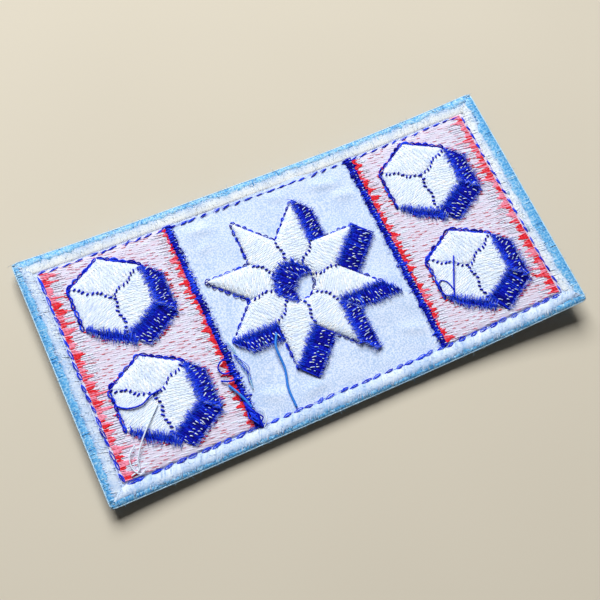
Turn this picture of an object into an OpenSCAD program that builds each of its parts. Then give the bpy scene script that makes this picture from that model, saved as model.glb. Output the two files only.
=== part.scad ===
/* [Patch] */
// Length of the patch along X
patch_l = 100; // [98:1:110]
// Width of the patch along Y
patch_w = 50; // [49:1:56]
// Corner radius of the cut edge
corner_r = 0.8; // [0.4:0.1:1.4]

/* [End curl] */
// Radius that each end of the patch curls up on
curl_r = 280; // [220:10:400]
// Where the left end starts to curl, left of the middle
flat_left = 25; // [15:1:35]
// Where the right end starts to curl, right of the middle
flat_right = 8; // [5:1:20]

/* [Layers] */
// Height of the stitching on the face, which lies down
face_h = 0.4; // [0.3:0.05:0.6]
// Thickness of the ground cloth
cloth_t = 1; // [1:0.1:1.5]
// Thickness of the backing film
film_t = 0.25; // [0.2:0.05:0.4]
// Height of the flat fill stitching on the back
fill_h = 0.2; // [0.15:0.05:0.3]
// Height of the red thread ends over the fill
red_h = 0.18; // [0.1:0.02:0.3]
// Height of a divider column above the film
divider_h = 0.45; // [0.3:0.05:0.6]
// Height of a drop shadow above the film
shadow_h = 0.35; // [0.25:0.05:0.5]
// Height of a motif's body above its drop shadow
body_h = 0.45; // [0.3:0.05:0.6]
// Gap left between neighbouring pieces
gap = 0.03; // [0.02:0.01:0.05]

/* [Border] */
// Thickness of the thread that wraps the cut edge
wrap_t = 0.35; // [0.25:0.05:0.5]
// Width of the light-blue lip on the back
lip_w = 1.5; // [1:0.1:1.8]
// Height of the lip above the film
lip_h = 0.35; // [0.2:0.05:0.5]
// Distance from the cut edge to the inner side of the raised white band
band_in = 3.25; // [2.8:0.05:3.4]
// Height of the raised white band above the film
band_h = 0.65; // [0.4:0.05:0.8]
// Distance from the cut edge to the stitched field
field_in = 3.7; // [3.6:0.1:4]

/* [Panels] */
// Distance from the middle of the patch to the middle of each divider
divider_x = 19.8; // [19.5:0.1:20]
// Width of a divider column
divider_w = 1.3; // [1:0.1:1.6]
// Width of the solid part of a red edge
red_w = 0.7; // [0.4:0.1:0.9]
// Length of the longest red teeth
tooth_l = 1.6; // [0.8:0.1:1.8]
// Distance from tooth to tooth
tooth_pitch = 1.5; // [1.2:0.1:2.5]

/* [Motifs] */
// Width of the square that the star's points touch
star_w = 32.5; // [30:0.5:34]
// Distance across the flats of the opening in the star
star_hole = 7.6; // [7:0.1:8]
// Distance across the flats of a hexagon, which stands on one of its corners
hexagon_w = 14.7; // [13:0.1:14.8]
// Distance between the two motifs of a side panel, shadows included
motif_space = 0.9; // [0.5:0.1:1.2]
// How far a drop shadow reaches to the right and down
shadow_d = 3; // [2:0.1:3]

/* [Hidden] */

// Thread, film and cloth colours
light_blue = [0.36, 0.67, 0.88];
white = [0.90, 0.92, 0.99];
navy = [0.02, 0.05, 0.55];
pink = [0.86, 0.76, 0.80];
red = [0.92, 0.10, 0.12];
film_tint = [0.80, 0.85, 0.98];

// Heights above the lowest point of the face, from the face to the back
face_low = face_h / 2;
cloth_z = face_h + gap;
film_z = cloth_z + cloth_t + gap;
back_z = film_z + film_t + gap;
lip_z = back_z + lip_h;
red_z = back_z + fill_h + gap;
body_z = back_z + shadow_h + gap;

// Sides of a curled surface, enough that its chords stay within 0.003 mm of the arc
curl_fn = 720;
// How far the cutting shapes run past the patch
past = 1;
// Height that clears the curled ends
clear_h = 30;

// Half sizes of the stitched field, and the sides of a side panel
field_x = patch_l / 2 - field_in;
field_y = patch_w / 2 - field_in;
panel_in = divider_x + divider_w / 2 + gap;
panel_mid = (field_x + panel_in) / 2;

// An eight-pointed star of eight equal diamonds: its points lie at radius star_tip and its notches at star_notch
star_tip = star_w / 2 / cos(22.5);
star_notch = star_tip / (2 * cos(22.5));
// Distance from a hexagon's middle to its corners
hexagon_tip = hexagon_w / sqrt(3);

// A motif and its shadow are centred together, so the motif itself sits up and to the left
shadow_move = [shadow_d, -shadow_d];
hexagon_y = hexagon_tip + (shadow_d + motif_space) / 2;
function hexagon_place(i) = [(i > 2 ? 1 : -1) * panel_mid, (i % 2 == 1 ? 1 : -1) * hexagon_y];

function star_points() = [
    for (i = [0 : 15]) let (r = i % 2 == 0 ? star_tip : star_notch, a = 22.5 * (i + 1)) [r * cos(a), r * sin(a)]
];
function hole_points() = [
    for (i = [0 : 7]) star_hole / 2 / cos(22.5) * [cos(45 * i + 22.5), sin(45 * i + 22.5)]
];
function hexagon_points() = [for (i = [0 : 5]) hexagon_tip * [cos(60 * i + 30), sin(60 * i + 30)]];

// Length of each red tooth, which varies along the edge as thread ends do
function tooth(i) = tooth_l * (0.7 + 0.3 * sin(137 * i));

// Shapes seen from above

// The patch's outline, moved in from the cut edge
module outline(inset = 0) {
    l = patch_l - 2 * inset;
    w = patch_w - 2 * inset;
    r = max(corner_r - inset, 0);
    if (r > 0.1) {
        square([l - 2 * r, w], center = true);
        square([l, w - 2 * r], center = true);
        for (x = [-1, 1], y = [-1, 1]) translate([x * (l / 2 - r), y * (w / 2 - r)]) circle(r = r, $fn = 48);
    } else {
        square([l, w], center = true);
    }
}

// A ring between two distances from the cut edge
module ring(outer, inner) {
    difference() {
        outline(outer);
        outline(inner);
    }
}

// A shape together with everything that it passes over on its way along the shadow
module cast_shape(points) {
    n = len(points);
    polygon(points);
    translate(shadow_move) polygon(points);
    for (i = [0 : n - 1]) {
        a = points[i];
        b = points[(i + 1) % n];
        // The points run anticlockwise, so only edges that face the shadow sweep past the shape.
        // Each sweep starts at the shape's middle, so that it overlaps the shape and joins it
        if (cross(shadow_move, b - a) > 0.001) polygon([[0, 0], a, a + shadow_move, b + shadow_move, b]);
    }
}

module star_plan() {
    translate(-shadow_move / 2) difference() {
        polygon(star_points());
        polygon(hole_points());
    }
}

// The opening stays clear only where the star's shadow leaves it free
module star_shadow_plan() {
    translate(-shadow_move / 2) difference() {
        cast_shape(star_points());
        intersection() {
            polygon(hole_points());
            translate(shadow_move) polygon(hole_points());
        }
    }
}

module hexagon_plan(i) {
    translate(hexagon_place(i) - shadow_move / 2) polygon(hexagon_points());
}

module hexagon_shadow_plan(i, grow = 0) {
    translate(hexagon_place(i) - shadow_move / 2) cast_shape(hexagon_points() * (1 + 2 * grow / hexagon_w));
}

// A side panel's fill, open where its two motifs lie
module fill_plan(side) {
    difference() {
        translate([side > 0 ? panel_in : -field_x, -field_y]) square([field_x - panel_in, 2 * field_y]);
        for (i = side > 0 ? [3, 4] : [1, 2]) hexagon_shadow_plan(i, gap);
    }
}

module divider_plan(side) {
    translate([side * divider_x, 0]) square([divider_w, 2 * (patch_w / 2 - band_in - gap)], center = true);
}

// A straight edge at x, with teeth that point to the right (way 1) or the left (way -1)
module red_plan(x, way) {
    n = floor(2 * field_y / tooth_pitch);
    step = 2 * field_y / n;
    translate([x, -field_y]) polygon([
        [0, 0],
        for (i = [0 : n - 1]) each [[way * red_w, i * step], [way * (red_w + tooth(i)), (i + 0.5) * step]],
        [way * red_w, n * step],
        [0, n * step],
    ]);
}

// Layers that follow the curl

// One curled end in side view, from the height lo to hi of the stack
module curled_end(side, start, lo, hi) {
    reach = patch_l / 2 - start + past;
    translate([side * start, curl_r]) difference() {
        intersection() {
            circle(r = curl_r - lo, $fn = curl_fn);
            translate([side > 0 ? 0 : -reach, -curl_r - past]) square([reach, clear_h]);
        }
        circle(r = curl_r - hi, $fn = curl_fn);
    }
}

module side_view(lo, hi) {
    translate([-flat_left, lo]) square([flat_left + flat_right, hi - lo]);
    curled_end(-1, flat_left, lo, hi);
    curled_end(1, flat_right, lo, hi);
}

// The part of an outline that lies between two heights of the stack
module layer(lo, hi) {
    intersection() {
        translate([0, 0, -past]) linear_extrude(height = clear_h) children();
        rotate([90, 0, 0]) linear_extrude(height = patch_w + 2 * past, center = true) side_view(lo, hi);
    }
}

// The pieces of the middle and the border

module ground_cloth() {
    color(white) layer(cloth_z, cloth_z + cloth_t) outline(wrap_t + gap);
}

module backing_film() {
    color(film_tint) layer(film_z, film_z + film_t) outline(wrap_t + gap);
}

// The border's thread covers the face, wraps the cut edge and ends as a lip on the back
module border_edge() {
    color(light_blue) difference() {
        layer(0, lip_z) ring(0, band_in);
        layer(face_h, back_z) outline(wrap_t);
        layer(back_z - gap, lip_z + past) outline(lip_w);
    }
}

module border_band() {
    color(white) layer(back_z, back_z + band_h) ring(lip_w + gap, band_in);
}

// The pieces that show on the back

module panel_fill(side) {
    color(pink) layer(back_z, back_z + fill_h) fill_plan(side);
}

module divider(side) {
    color(navy) layer(back_z, back_z + divider_h) divider_plan(side);
}

module red_edge(x, way) {
    color(red) layer(red_z, red_z + red_h) red_plan(x, way);
}

module star_shadow() {
    color(navy) layer(back_z, back_z + shadow_h) star_shadow_plan();
}

module star() {
    color(white) layer(body_z, body_z + body_h) star_plan();
}

module hexagon_shadow(i) {
    color(navy) layer(back_z, back_z + shadow_h) hexagon_shadow_plan(i);
}

module hexagon(i) {
    color(white) layer(body_z, body_z + body_h) hexagon_plan(i);
}

// The pieces that show on the face

module face_fill(side) {
    color(red) layer(face_low, face_h) fill_plan(side);
}

module face_divider(side) {
    color(navy) layer(face_low, face_h) divider_plan(side);
}

module face_star_shadow() {
    color(navy) layer(face_low, face_h) star_shadow_plan();
}

module face_star() {
    color(white) layer(0, face_low - gap) star_plan();
}

module face_hexagon_shadow(i) {
    color(navy) layer(face_low, face_h) hexagon_shadow_plan(i);
}

module face_hexagon(i) {
    color(white) layer(0, face_low - gap) hexagon_plan(i);
}

ground_cloth();
backing_film();
border_edge();
border_band();
panel_fill(-1);  // panel_fill_left
panel_fill(1);  // panel_fill_right
divider(-1);  // divider_left
divider(1);  // divider_right
red_edge(-field_x, 1);  // red_edge_left_outer
red_edge(-panel_in, -1);  // red_edge_left_inner
red_edge(panel_in, 1);  // red_edge_right_inner
red_edge(field_x, -1);  // red_edge_right_outer
star_shadow();
star();
hexagon_shadow(1);  // hexagon_shadow_1
hexagon_shadow(2);  // hexagon_shadow_2
hexagon_shadow(3);  // hexagon_shadow_3
hexagon_shadow(4);  // hexagon_shadow_4
hexagon(1);  // hexagon_1
hexagon(2);  // hexagon_2
hexagon(3);  // hexagon_3
hexagon(4);  // hexagon_4
face_fill(-1);  // face_fill_left
face_fill(1);  // face_fill_right
face_divider(-1);  // face_divider_left
face_divider(1);  // face_divider_right
face_star_shadow();
face_star();
face_hexagon_shadow(1);  // face_hexagon_shadow_1
face_hexagon_shadow(2);  // face_hexagon_shadow_2
face_hexagon_shadow(3);  // face_hexagon_shadow_3
face_hexagon_shadow(4);  // face_hexagon_shadow_4
face_hexagon(1);  // face_hexagon_1
face_hexagon(2);  // face_hexagon_2
face_hexagon(3);  // face_hexagon_3
face_hexagon(4);  // face_hexagon_4
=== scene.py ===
"""The looks of an embroidered clothing patch that lies face down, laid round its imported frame.

Places on the patch are in millimetres: x and y as seen from above, and the height over the flat face.
lift() takes them to the curled patch, in metres.
"""

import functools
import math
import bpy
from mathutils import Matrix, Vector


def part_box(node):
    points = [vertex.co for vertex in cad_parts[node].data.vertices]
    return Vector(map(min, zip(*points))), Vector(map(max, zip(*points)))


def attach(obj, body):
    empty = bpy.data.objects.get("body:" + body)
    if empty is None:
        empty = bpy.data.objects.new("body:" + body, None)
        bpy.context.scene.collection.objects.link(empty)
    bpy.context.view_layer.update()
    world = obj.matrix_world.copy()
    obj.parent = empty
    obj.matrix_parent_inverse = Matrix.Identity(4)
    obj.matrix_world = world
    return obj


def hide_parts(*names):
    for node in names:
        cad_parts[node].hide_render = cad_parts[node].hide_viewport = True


bl_info = {
    "name": "Embroidered patch, back side up",
    "version": (1, 0, 0),
    "blender": (4, 5, 0),
    "location": "View3D > Sidebar > Patch",
    "description": "Lays the threads, film and cloth of an embroidered patch that lies face down",
    "category": "Object",
}

from collections import namedtuple

import bmesh
import bpy
import numpy as np
from bpy.props import FloatProperty, FloatVectorProperty, PointerProperty
from numpy.random import default_rng

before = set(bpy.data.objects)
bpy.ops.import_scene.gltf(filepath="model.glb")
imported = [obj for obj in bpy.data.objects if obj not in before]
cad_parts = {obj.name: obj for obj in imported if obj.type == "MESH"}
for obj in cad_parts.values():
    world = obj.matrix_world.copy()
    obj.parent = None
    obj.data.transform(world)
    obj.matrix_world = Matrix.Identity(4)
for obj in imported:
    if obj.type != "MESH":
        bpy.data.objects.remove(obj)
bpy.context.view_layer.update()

MM = 0.001


def plan_of(node):
    """Lowest and highest corners of a frame node as seen from above, in millimetres"""
    return [np.array(corner)[:2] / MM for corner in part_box(node)]


def foot_of(node):
    """The height at which a frame node starts, in millimetres"""
    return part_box(node)[0][2] / MM


# The end curl of the frame: its radius, and where each end leaves the flat
CURL_RADIUS = 280
FLAT_LEFT = -25
FLAT_RIGHT = 8

# Places and pieces that come from the frame
HALF_X, HALF_Y = plan_of("border_edge")[1]
CLOTH_Z = foot_of("ground_cloth")
FILM_Z = foot_of("backing_film")
BACK_Z = foot_of("border_band")
BODY_Z = foot_of("star")
STAR_LOW, STAR_HIGH = plan_of("star")
STAR_CENTRE = (STAR_LOW + STAR_HIGH) / 2
SHADOW_LOW, SHADOW_HIGH = plan_of("star_shadow")
SHADOW_MOVE = np.array([SHADOW_HIGH[0] - STAR_HIGH[0], SHADOW_LOW[1] - STAR_LOW[1]])
HEXAGONS = ("hexagon_1", "hexagon_2", "hexagon_3", "hexagon_4")
MOTIFS = ("star", *HEXAGONS)
FILLS = ("panel_fill_left", "panel_fill_right")
DIVIDERS = ("divider_left", "divider_right")

# Red edges, and the way along the patch in which their teeth point
RED_EDGES = {
    "red_edge_left_outer": 1,
    "red_edge_left_inner": -1,
    "red_edge_right_inner": 1,
    "red_edge_right_outer": -1,
}

# What differs from side to side of the border. The lip light and band light rows add painted light and
# shade to a side's tones: lighter on the top lip and on the top and right band, darker towards the inner
# side of the left and bottom band
SIDES = ("left", "top", "right", "bottom")
BY_SIDE = {
    "lip height": (0.33, 0.22, 0.33, 0.33),
    "lip painted light": (0.0, 0.12, 0.0, 0.02),
    "band crown": (0.9, 0.4, 0.65, 1.0),
    "band painted light": (-0.1, 0.36, 0.2, -0.2),
    "ring length": (1.25, 1.05, 0.95, 1.2),
    "ring bulge": (0.2, 0.1, 0.1, 0.24),
    "ring strand": (0.9, 0.75, 0.95, 0.8),
}


def on_side(what, side):
    """One of the border's values for a side"""
    return BY_SIDE[what][SIDES.index(side)]


# Sizes and colours that a user would change


def length(name, about, *millimetres):
    """A length property, or one with a length for each side, given in millimetres"""
    options = {"name": name, "description": about, "min": 0, "precision": 5, "unit": "LENGTH"}
    default = [value * MM for value in millimetres]
    if len(default) == 1:
        return FloatProperty(default=default[0], **options)
    return FloatVectorProperty(default=default, size=len(default), **options)


def colour(name, about, *screen):
    """A colour property, given as it looks on a screen, from 0 to 255"""
    screen = np.array(screen) / 255
    linear = np.where(screen <= 0.04045, screen / 12.92, ((screen + 0.055) / 1.055) ** 2.4)
    return FloatVectorProperty(
        name=name, description=about, default=tuple(linear), min=0, max=1, size=3, subtype="COLOR"
    )


class PatchSizes(bpy.types.PropertyGroup):
    """Sizes of the patch's threads, film and cloth. Those with four go left, top, right and bottom"""

    corner_radius: length("Corner radius", "Radius of the cut edge's corners", 0.8)
    lip: length("Lip", "Width of the light-blue lip on each side", 2.15, 1.5, 2.7, 1.45)
    lip_pitch: length("Lip pitch", "Distance between the border's wrapped threads", 0.34)
    lip_thread: length("Lip thread", "Half width of a wrapped thread", 0.21)
    band: length("Band", "From each cut edge to the band's inner side", 3.2, 3.0, 3.6, 2.95)
    band_pitch: length("Band pitch", "Distance between the white band's threads", 0.3)
    band_thread: length("Band thread", "Half width of a band thread", 0.18)
    band_crown: length("Band crown", "Height of the white band's crown over the film", 0.46)
    ring: length("Ring", "From each cut edge to the running stitch", 3.8, 3.65, 3.95, 3.2)
    ring_pitch: length("Ring pitch", "Distance from one running stitch to the next", 2.3)
    ring_stitch: length("Ring stitch", "Length of the running stitch that shows", 1.6)
    ring_thread: length("Ring thread", "Half width of a running stitch's strand", 0.12)
    satin_pitch: length("Satin pitch", "Distance between the satin threads of the motifs", 0.26)
    satin_stitch: length("Satin stitch", "Length of the motifs' stitches", 1.7)
    satin_thread: length("Satin thread", "Half width of a satin thread", 0.18)
    body_crown: length("Body crown", "Height of a motif over its drop shadow", 0.42)
    body_shoulder: length("Body shoulder", "Width of a motif's rounded shoulder", 1.5)
    star_hole: length("Star opening", "Distance across the flats of the star's opening", 7.6)
    shadow_pitch: length("Shadow pitch", "Distance between a drop shadow's threads", 0.23)
    shadow_thread: length("Shadow thread", "Half width of a drop shadow's thread", 0.13)
    fringe: length("Fringe", "How far the blue fringe reaches from the motif", 1.25)
    fill_pitch: length("Fill pitch", "Distance between rows of the pink fill", 0.4)
    fill_stitch: length("Fill stitch", "Length of a fill stitch", 3.6)
    fill_thread: length("Fill thread", "Half width of a fill thread", 0.235)
    red_pitch: length("Red pitch", "Distance between red threads", 0.27)
    red_thread: length("Red thread", "Half width of a red thread", 0.15)
    red_solid: length("Red edge", "Width of the solid part of a red edge", 0.35)
    tooth: length("Red teeth", "Length of the longest red teeth", 1.6)
    tooth_pitch: length("Tooth pitch", "Distance from tooth to tooth", 1.5)
    divider_pitch: length("Divider pitch", "Distance between a divider's threads", 0.24)
    divider_thread: length("Divider thread", "Half width of a divider's thread", 0.14)
    film_thickness: length("Film thickness", "Thickness of the backing film", 0.25)
    cloth_thickness: length("Cloth thickness", "Thickness of the ground cloth", 1.0)


class PatchColours(bpy.types.PropertyGroup):
    """Colours of the patch's threads, film and cloth"""

    lip: colour("Lip", "Light-blue border thread", 86, 171, 228)
    lip_shade: colour("Lip shade", "Light-blue thread where it is matted", 34, 122, 204)
    # Painted shade: the light-blue ramp's darkest stop colours the cut edge's wall below its rim, where
    # the light does not reach
    lip_painted_shade: colour("Lip deep", "Light-blue thread low on the cut edge", 8, 34, 66)
    # Where the lip frays into the band, and also a painted highlight on the rim of the cut edge, on its
    # sealed bead and on the top lip
    lip_frayed_and_lit: colour("Lip light", "Light-blue thread where it frays", 186, 222, 246)
    white: colour("White", "White bobbin thread", 222, 236, 254)
    white_shade: colour("White shade", "White thread in its folds", 190, 209, 250)
    white_light: colour("White light", "White thread where it catches the light", 221, 240, 255)
    felt: colour("Felt", "White border thread, which is felted", 208, 224, 246)
    felt_shade: colour("Felt shade", "The same in its folds", 166, 194, 233)
    # Where the band frays, and also painted light on the top band
    felt_frayed_and_lit: colour("Felt light", "The same where it frays", 247, 253, 255)
    satin: colour("Satin", "White satin of the motifs", 218, 233, 252)
    satin_light: colour("Satin light", "Satin where it catches the light", 255, 255, 255)
    navy: colour("Navy", "Dark-blue thread", 3, 18, 198)
    navy_deep: colour("Navy deep", "Dark-blue thread in its folds", 0, 2, 118)
    royal: colour("Royal", "Dark-blue thread where it frays", 34, 78, 252)
    haze: colour("Haze", "Fine blue hairs on the white thread", 112, 142, 246)
    pink: colour("Pink", "Bobbin thread over the red fill", 217, 215, 238)
    pink_shade: colour("Pink shade", "The same where the red shines through", 208, 178, 196)
    red: colour("Red", "Red thread", 232, 38, 52)
    red_light: colour("Red light", "Red thread where white thread covers it", 244, 148, 176)
    film: colour("Film", "Backing film", 174, 200, 237)
    film_light: colour("Film light", "Backing film where it is smooth", 218, 231, 255)
    cloth: colour("Cloth", "Ground cloth", 206, 214, 236)
    azure: colour("Azure", "Loose light-blue thread", 24, 108, 232)
    floor: colour("Floor", "Plain pale floor", 206, 199, 183)


def mm(name):
    """One of the patch's sizes in millimetres, or its four by side"""
    value = getattr(bpy.context.scene.patch_sizes, name)
    if isinstance(value, float):
        return value / MM
    return {side: width / MM for side, width in zip(SIDES, value)}


# Finishes


def new_finish(name, roughness, gloss=0.5, sheen=0.0, sheen_roughness=0.5):
    """A material, its node tree and its shader"""
    material = bpy.data.materials.new(name)
    material.use_nodes = True
    shader = material.node_tree.nodes["Principled BSDF"]
    shader.inputs["Roughness"].default_value = roughness
    shader.inputs["Specular IOR Level"].default_value = gloss
    shader.inputs["Sheen Weight"].default_value = sheen
    shader.inputs["Sheen Roughness"].default_value = sheen_roughness
    return material, material.node_tree, shader


def add_node(tree, kind, inputs=(), **settings):
    """A node with its settings, whose inputs take a value or another node's output"""
    node = tree.nodes.new(kind)
    for key, value in settings.items():
        setattr(node, key, value)
    for key, value in dict(inputs).items():
        if isinstance(value, bpy.types.NodeSocket):
            tree.links.new(value, node.inputs[key])
        else:
            node.inputs[key].default_value = value
    return node


def add_math(tree, operation, *inputs):
    """What an operation makes of numbers and other nodes' outputs"""
    return add_node(tree, "ShaderNodeMath", enumerate(inputs), operation=operation).outputs["Value"]


def add_pattern(tree, kind, inputs, **place):
    """A texture on Object coordinates, which its Mapping stretches or turns"""
    coordinates = add_node(tree, "ShaderNodeTexCoord").outputs["Object"]
    mapping = add_node(tree, "ShaderNodeMapping", {"Vector": coordinates, **place})
    return add_node(tree, kind, {"Vector": mapping.outputs["Vector"], **inputs}).outputs["Fac"]


def add_noise(tree, size, detail=2.0, stretch=(1, 1, 1)):
    """Noise with features of a size in millimetres"""
    inputs = {"Scale": 1 / (size * MM), "Detail": detail}
    return add_pattern(tree, "ShaderNodeTexNoise", inputs, Scale=stretch)


def paint(tree, shader, source, *stops):
    """Colours a shader by a ramp over stops of a place and a colour"""
    ramp = add_node(tree, "ShaderNodeValToRGB", {"Fac": source})
    elements = ramp.color_ramp.elements
    while len(elements) < len(stops):
        elements.new(0.5)
    for element, (place, tint) in zip(elements, stops):
        element.position = place
        element.color = (*tint, 1)
    tree.links.new(ramp.outputs["Color"], shader.inputs["Base Color"])


def add_bump(tree, shader, height, strength, distance):
    """Bump with a depth in millimetres, over the bump that the shader has already"""
    inputs = {"Height": height, "Strength": strength, "Distance": distance * MM}
    bump = add_node(tree, "ShaderNodeBump", inputs)
    for link in list(shader.inputs["Normal"].links):
        tree.links.new(link.from_socket, bump.inputs["Normal"])
    tree.links.new(bump.outputs["Normal"], shader.inputs["Normal"])


def thread_finish(name, stops, mottle=0.25, mottle_size=0.5, sheen=0.2, gloss=0.3):
    """Twisted thread, whose colour follows each stitch's shade and a fine mottle"""
    _, tree, shader = new_finish(name, roughness=0.6, gloss=gloss, sheen=sheen, sheen_roughness=0.4)
    shade = add_node(tree, "ShaderNodeAttribute", attribute_name="shade").outputs["Fac"]
    spread = add_math(tree, "MULTIPLY", add_noise(tree, mottle_size), 2 * mottle)
    centred = add_math(tree, "SUBTRACT", spread, mottle)
    paint(tree, shader, add_math(tree, "ADD", shade, centred), *stops)
    ply = add_node(tree, "ShaderNodeUVMap", uv_map="ply").outputs["UV"]
    twists_per_mm, plies = (1.6, 2)
    inputs = (ply, (math.tau * twists_per_mm, math.tau * plies, 0))
    twist = add_node(tree, "ShaderNodeVectorMath", enumerate(inputs), operation="DOT_PRODUCT")
    wave = add_math(tree, "SINE", twist.outputs["Value"])
    grain = add_noise(tree, 0.14, detail=3.0)
    add_bump(tree, shader, wave, strength=0.4, distance=0.03)
    add_bump(tree, shader, grain, strength=0.45, distance=0.06)


def film_finish():
    """Smooth non-woven film with a faint mottle and fine fibres"""
    tints = bpy.context.scene.patch_colours
    material, tree, shader = new_finish("film", roughness=0.6, gloss=0.3, sheen=0.15)
    broad = add_math(tree, "MULTIPLY", add_noise(tree, 5.0, detail=3.0), 0.2)
    grain = add_math(tree, "MULTIPLY", add_noise(tree, 0.3, detail=3.0), 0.8)
    mixed = add_math(tree, "ADD", broad, grain)
    paint(tree, shader, mixed, (0.42, tints.film), (0.58, tints.film_light))
    fibres = add_noise(tree, 0.35, detail=4.0, stretch=(1, 0.45, 1))
    dents = add_noise(tree, 2.2)
    add_bump(tree, shader, fibres, strength=0.35, distance=0.05)
    add_bump(tree, shader, dents, strength=0.35, distance=0.11)
    return material


def twill_finish():
    """Ground cloth with a fine diagonal twill"""
    tint = bpy.context.scene.patch_colours.cloth
    material, tree, shader = new_finish("ground twill", roughness=0.85, sheen=0.3)
    rib = 0.55
    inputs = {"Scale": 1 / (rib * MM * math.tau), "Distortion": 0.6}
    ribs = add_pattern(tree, "ShaderNodeTexWave", inputs, Rotation=(0, 0, math.radians(63)))
    paint(tree, shader, ribs, (0.1, [0.72 * value for value in tint]), (0.6, tint))
    add_bump(tree, shader, ribs, strength=0.6, distance=0.08)
    return material


def floor_finish():
    """Plain pale floor"""
    tint = bpy.context.scene.patch_colours.floor
    material, tree, shader = new_finish("pale floor", roughness=0.9)
    noise = add_noise(tree, 60, detail=1.0)
    paint(tree, shader, noise, (0.3, [0.97 * value for value in tint]), (0.7, tint))
    return material


# Thread finishes: their slot, their tones from dark to light, and how they differ from plain thread
FINISHES = {
    "light-blue thread": (
        "light_blue_thread",
        # The darkest stop is painted shade on the cut edge's wall, and the lightest is partly a painted
        # highlight on its rim
        ((0.0, "lip_painted_shade"), (0.25, "lip_shade"), (0.6, "lip"), (1.0, "lip_frayed_and_lit")),
        {"mottle": 0.6, "mottle_size": 0.4},
    ),
    "azure thread": (
        "light_blue_thread",
        ((0.0, "navy"), (0.5, "azure"), (1.0, "lip")),
        {"sheen": 0.0, "gloss": 0.15},
    ),
    "hazy thread": (
        "light_blue_thread",
        ((0.0, "royal"), (0.5, "haze"), (1.0, "felt")),
        {"sheen": 0.0, "gloss": 0.1},
    ),
    "white thread": (
        "white_thread",
        ((0.0, "lip"), (0.3, "white_shade"), (0.6, "white"), (1.0, "white_light")),
        {},
    ),
    "felted thread": (
        "white_thread",
        # The lightest stop is partly painted light on the top band
        ((0.0, "lip"), (0.3, "felt_shade"), (0.6, "felt"), (1.0, "felt_frayed_and_lit")),
        {"mottle_size": 0.4, "gloss": 0.1},
    ),
    "satin thread": (
        "white_thread",
        ((0.0, "white_shade"), (0.5, "satin"), (1.0, "satin_light")),
        {"mottle": 0.3, "mottle_size": 0.35},
    ),
    "navy thread": (
        "navy_thread",
        ((0.0, "navy_deep"), (0.5, "navy"), (1.0, "royal")),
        {"sheen": 0.0, "gloss": 0.12, "mottle": 0.5},
    ),
    "pink thread": (
        "pink_fill",
        ((0.0, "pink_shade"), (0.5, "pink"), (1.0, "satin")),
        {"mottle": 0.35},
    ),
    "red thread": (
        "red_thread",
        ((0.0, "red"), (0.6, "red"), (1.0, "red_light")),
        {"sheen": 0.0, "gloss": 0.15, "mottle": 0.35},
    ),
}


# Threads and sheets

# Threads or a sheet as arrays: points in millimetres, the faces' corners one after another, how many
# corners each face has, and what the finishes read at each point and each corner
Bundle = namedtuple("Bundle", "points corners face_sizes shade ply")


def lift(points):
    """Takes places on the patch to the curled patch, in metres"""
    x, y, height = np.moveaxis(points, -1, 0)
    run = np.maximum(np.maximum(FLAT_LEFT - x, x - FLAT_RIGHT), 0)
    z = CURL_RADIUS - np.sqrt((CURL_RADIUS - height) ** 2 - run**2)
    return np.stack([x, y, z], axis=-1) * MM


def arrays_of(bm):
    """The first three arrays of a bundle, from a bmesh that is then freed"""
    bm.verts.index_update()
    points = np.array([v.co for v in bm.verts])
    faces = [[v.index for v in f.verts] for f in bm.faces]
    bm.free()
    return points, np.concatenate(faces), np.array([len(f) for f in faces])


@functools.lru_cache(maxsize=None)
def thread_form(rings, sides):
    """One straight thread, which is shaped once and bent along every route"""
    bm = bmesh.new()
    bmesh.ops.create_cone(bm, cap_ends=True, segments=sides, radius1=1, radius2=1, depth=1)
    long_edges = [e for e in bm.edges if abs(e.verts[0].co.z - e.verts[1].co.z) > 0.5]
    bmesh.ops.subdivide_edges(bm, edges=long_edges, cuts=rings - 2, use_grid_fill=True)
    points, corners, sizes = arrays_of(bm)
    ring = np.rint((points[:, 2] + 0.5) * (rings - 1)).astype(int)
    turn = (np.arctan2(points[:, 1], points[:, 0]) / math.tau)[corners]
    firsts = np.cumsum(sizes) - sizes
    spread = np.maximum.reduceat(turn, firsts) - np.minimum.reduceat(turn, firsts)
    turn = turn + ((turn < 0) & (np.repeat(spread, sizes) > 0.5))
    return ring, points[:, :2], corners, sizes, turn


def unit(vectors):
    """The same directions with length 1"""
    return vectors / np.maximum(np.linalg.norm(vectors, axis=-1, keepdims=True), 1e-9)


def per_ring(values, count, rings):
    """Values for every ring of every thread, from one for all, one a thread or one a ring"""
    return np.broadcast_to(np.reshape(values, (len(np.atleast_1d(values)), -1)), (count, rings))


def sweep(routes, half_width, flat=0.8, shade=0.5, sides=6, side=None, taper=0.5):
    """Bends the thread form along routes, which are an array of threads by rings by 3"""
    count, rings = routes.shape[:2]
    ring, section, corners, face_sizes, turn = thread_form(rings, sides)
    tangent = unit(np.gradient(routes, axis=1))
    if side is None:
        side = unit(np.cross([0, 0, 1], tangent))
    side = np.broadcast_to(side, routes.shape)
    up = np.cross(tangent, side)
    wide = per_ring(half_width, count, rings) * np.where(np.arange(rings) % (rings - 1), 1, taper)
    reach = section[:, 0, None] * side[:, ring] + flat * section[:, 1, None] * up[:, ring]
    points = routes[:, ring] + wide[:, ring, None] * reach
    steps = np.linalg.norm(np.diff(routes, axis=1), axis=2)
    run = np.cumsum(np.pad(steps, ((0, 0), (1, 0))), axis=1)
    ply = np.stack([run[:, ring[corners]], np.broadcast_to(turn, (count, len(turn)))], axis=-1)
    return Bundle(
        points.reshape(-1, 3),
        (corners + np.arange(count)[:, None] * len(ring)).ravel(),
        np.tile(face_sizes, count),
        per_ring(shade, count, rings)[:, ring].ravel(),
        ply.reshape(-1, 2),
    )


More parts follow.
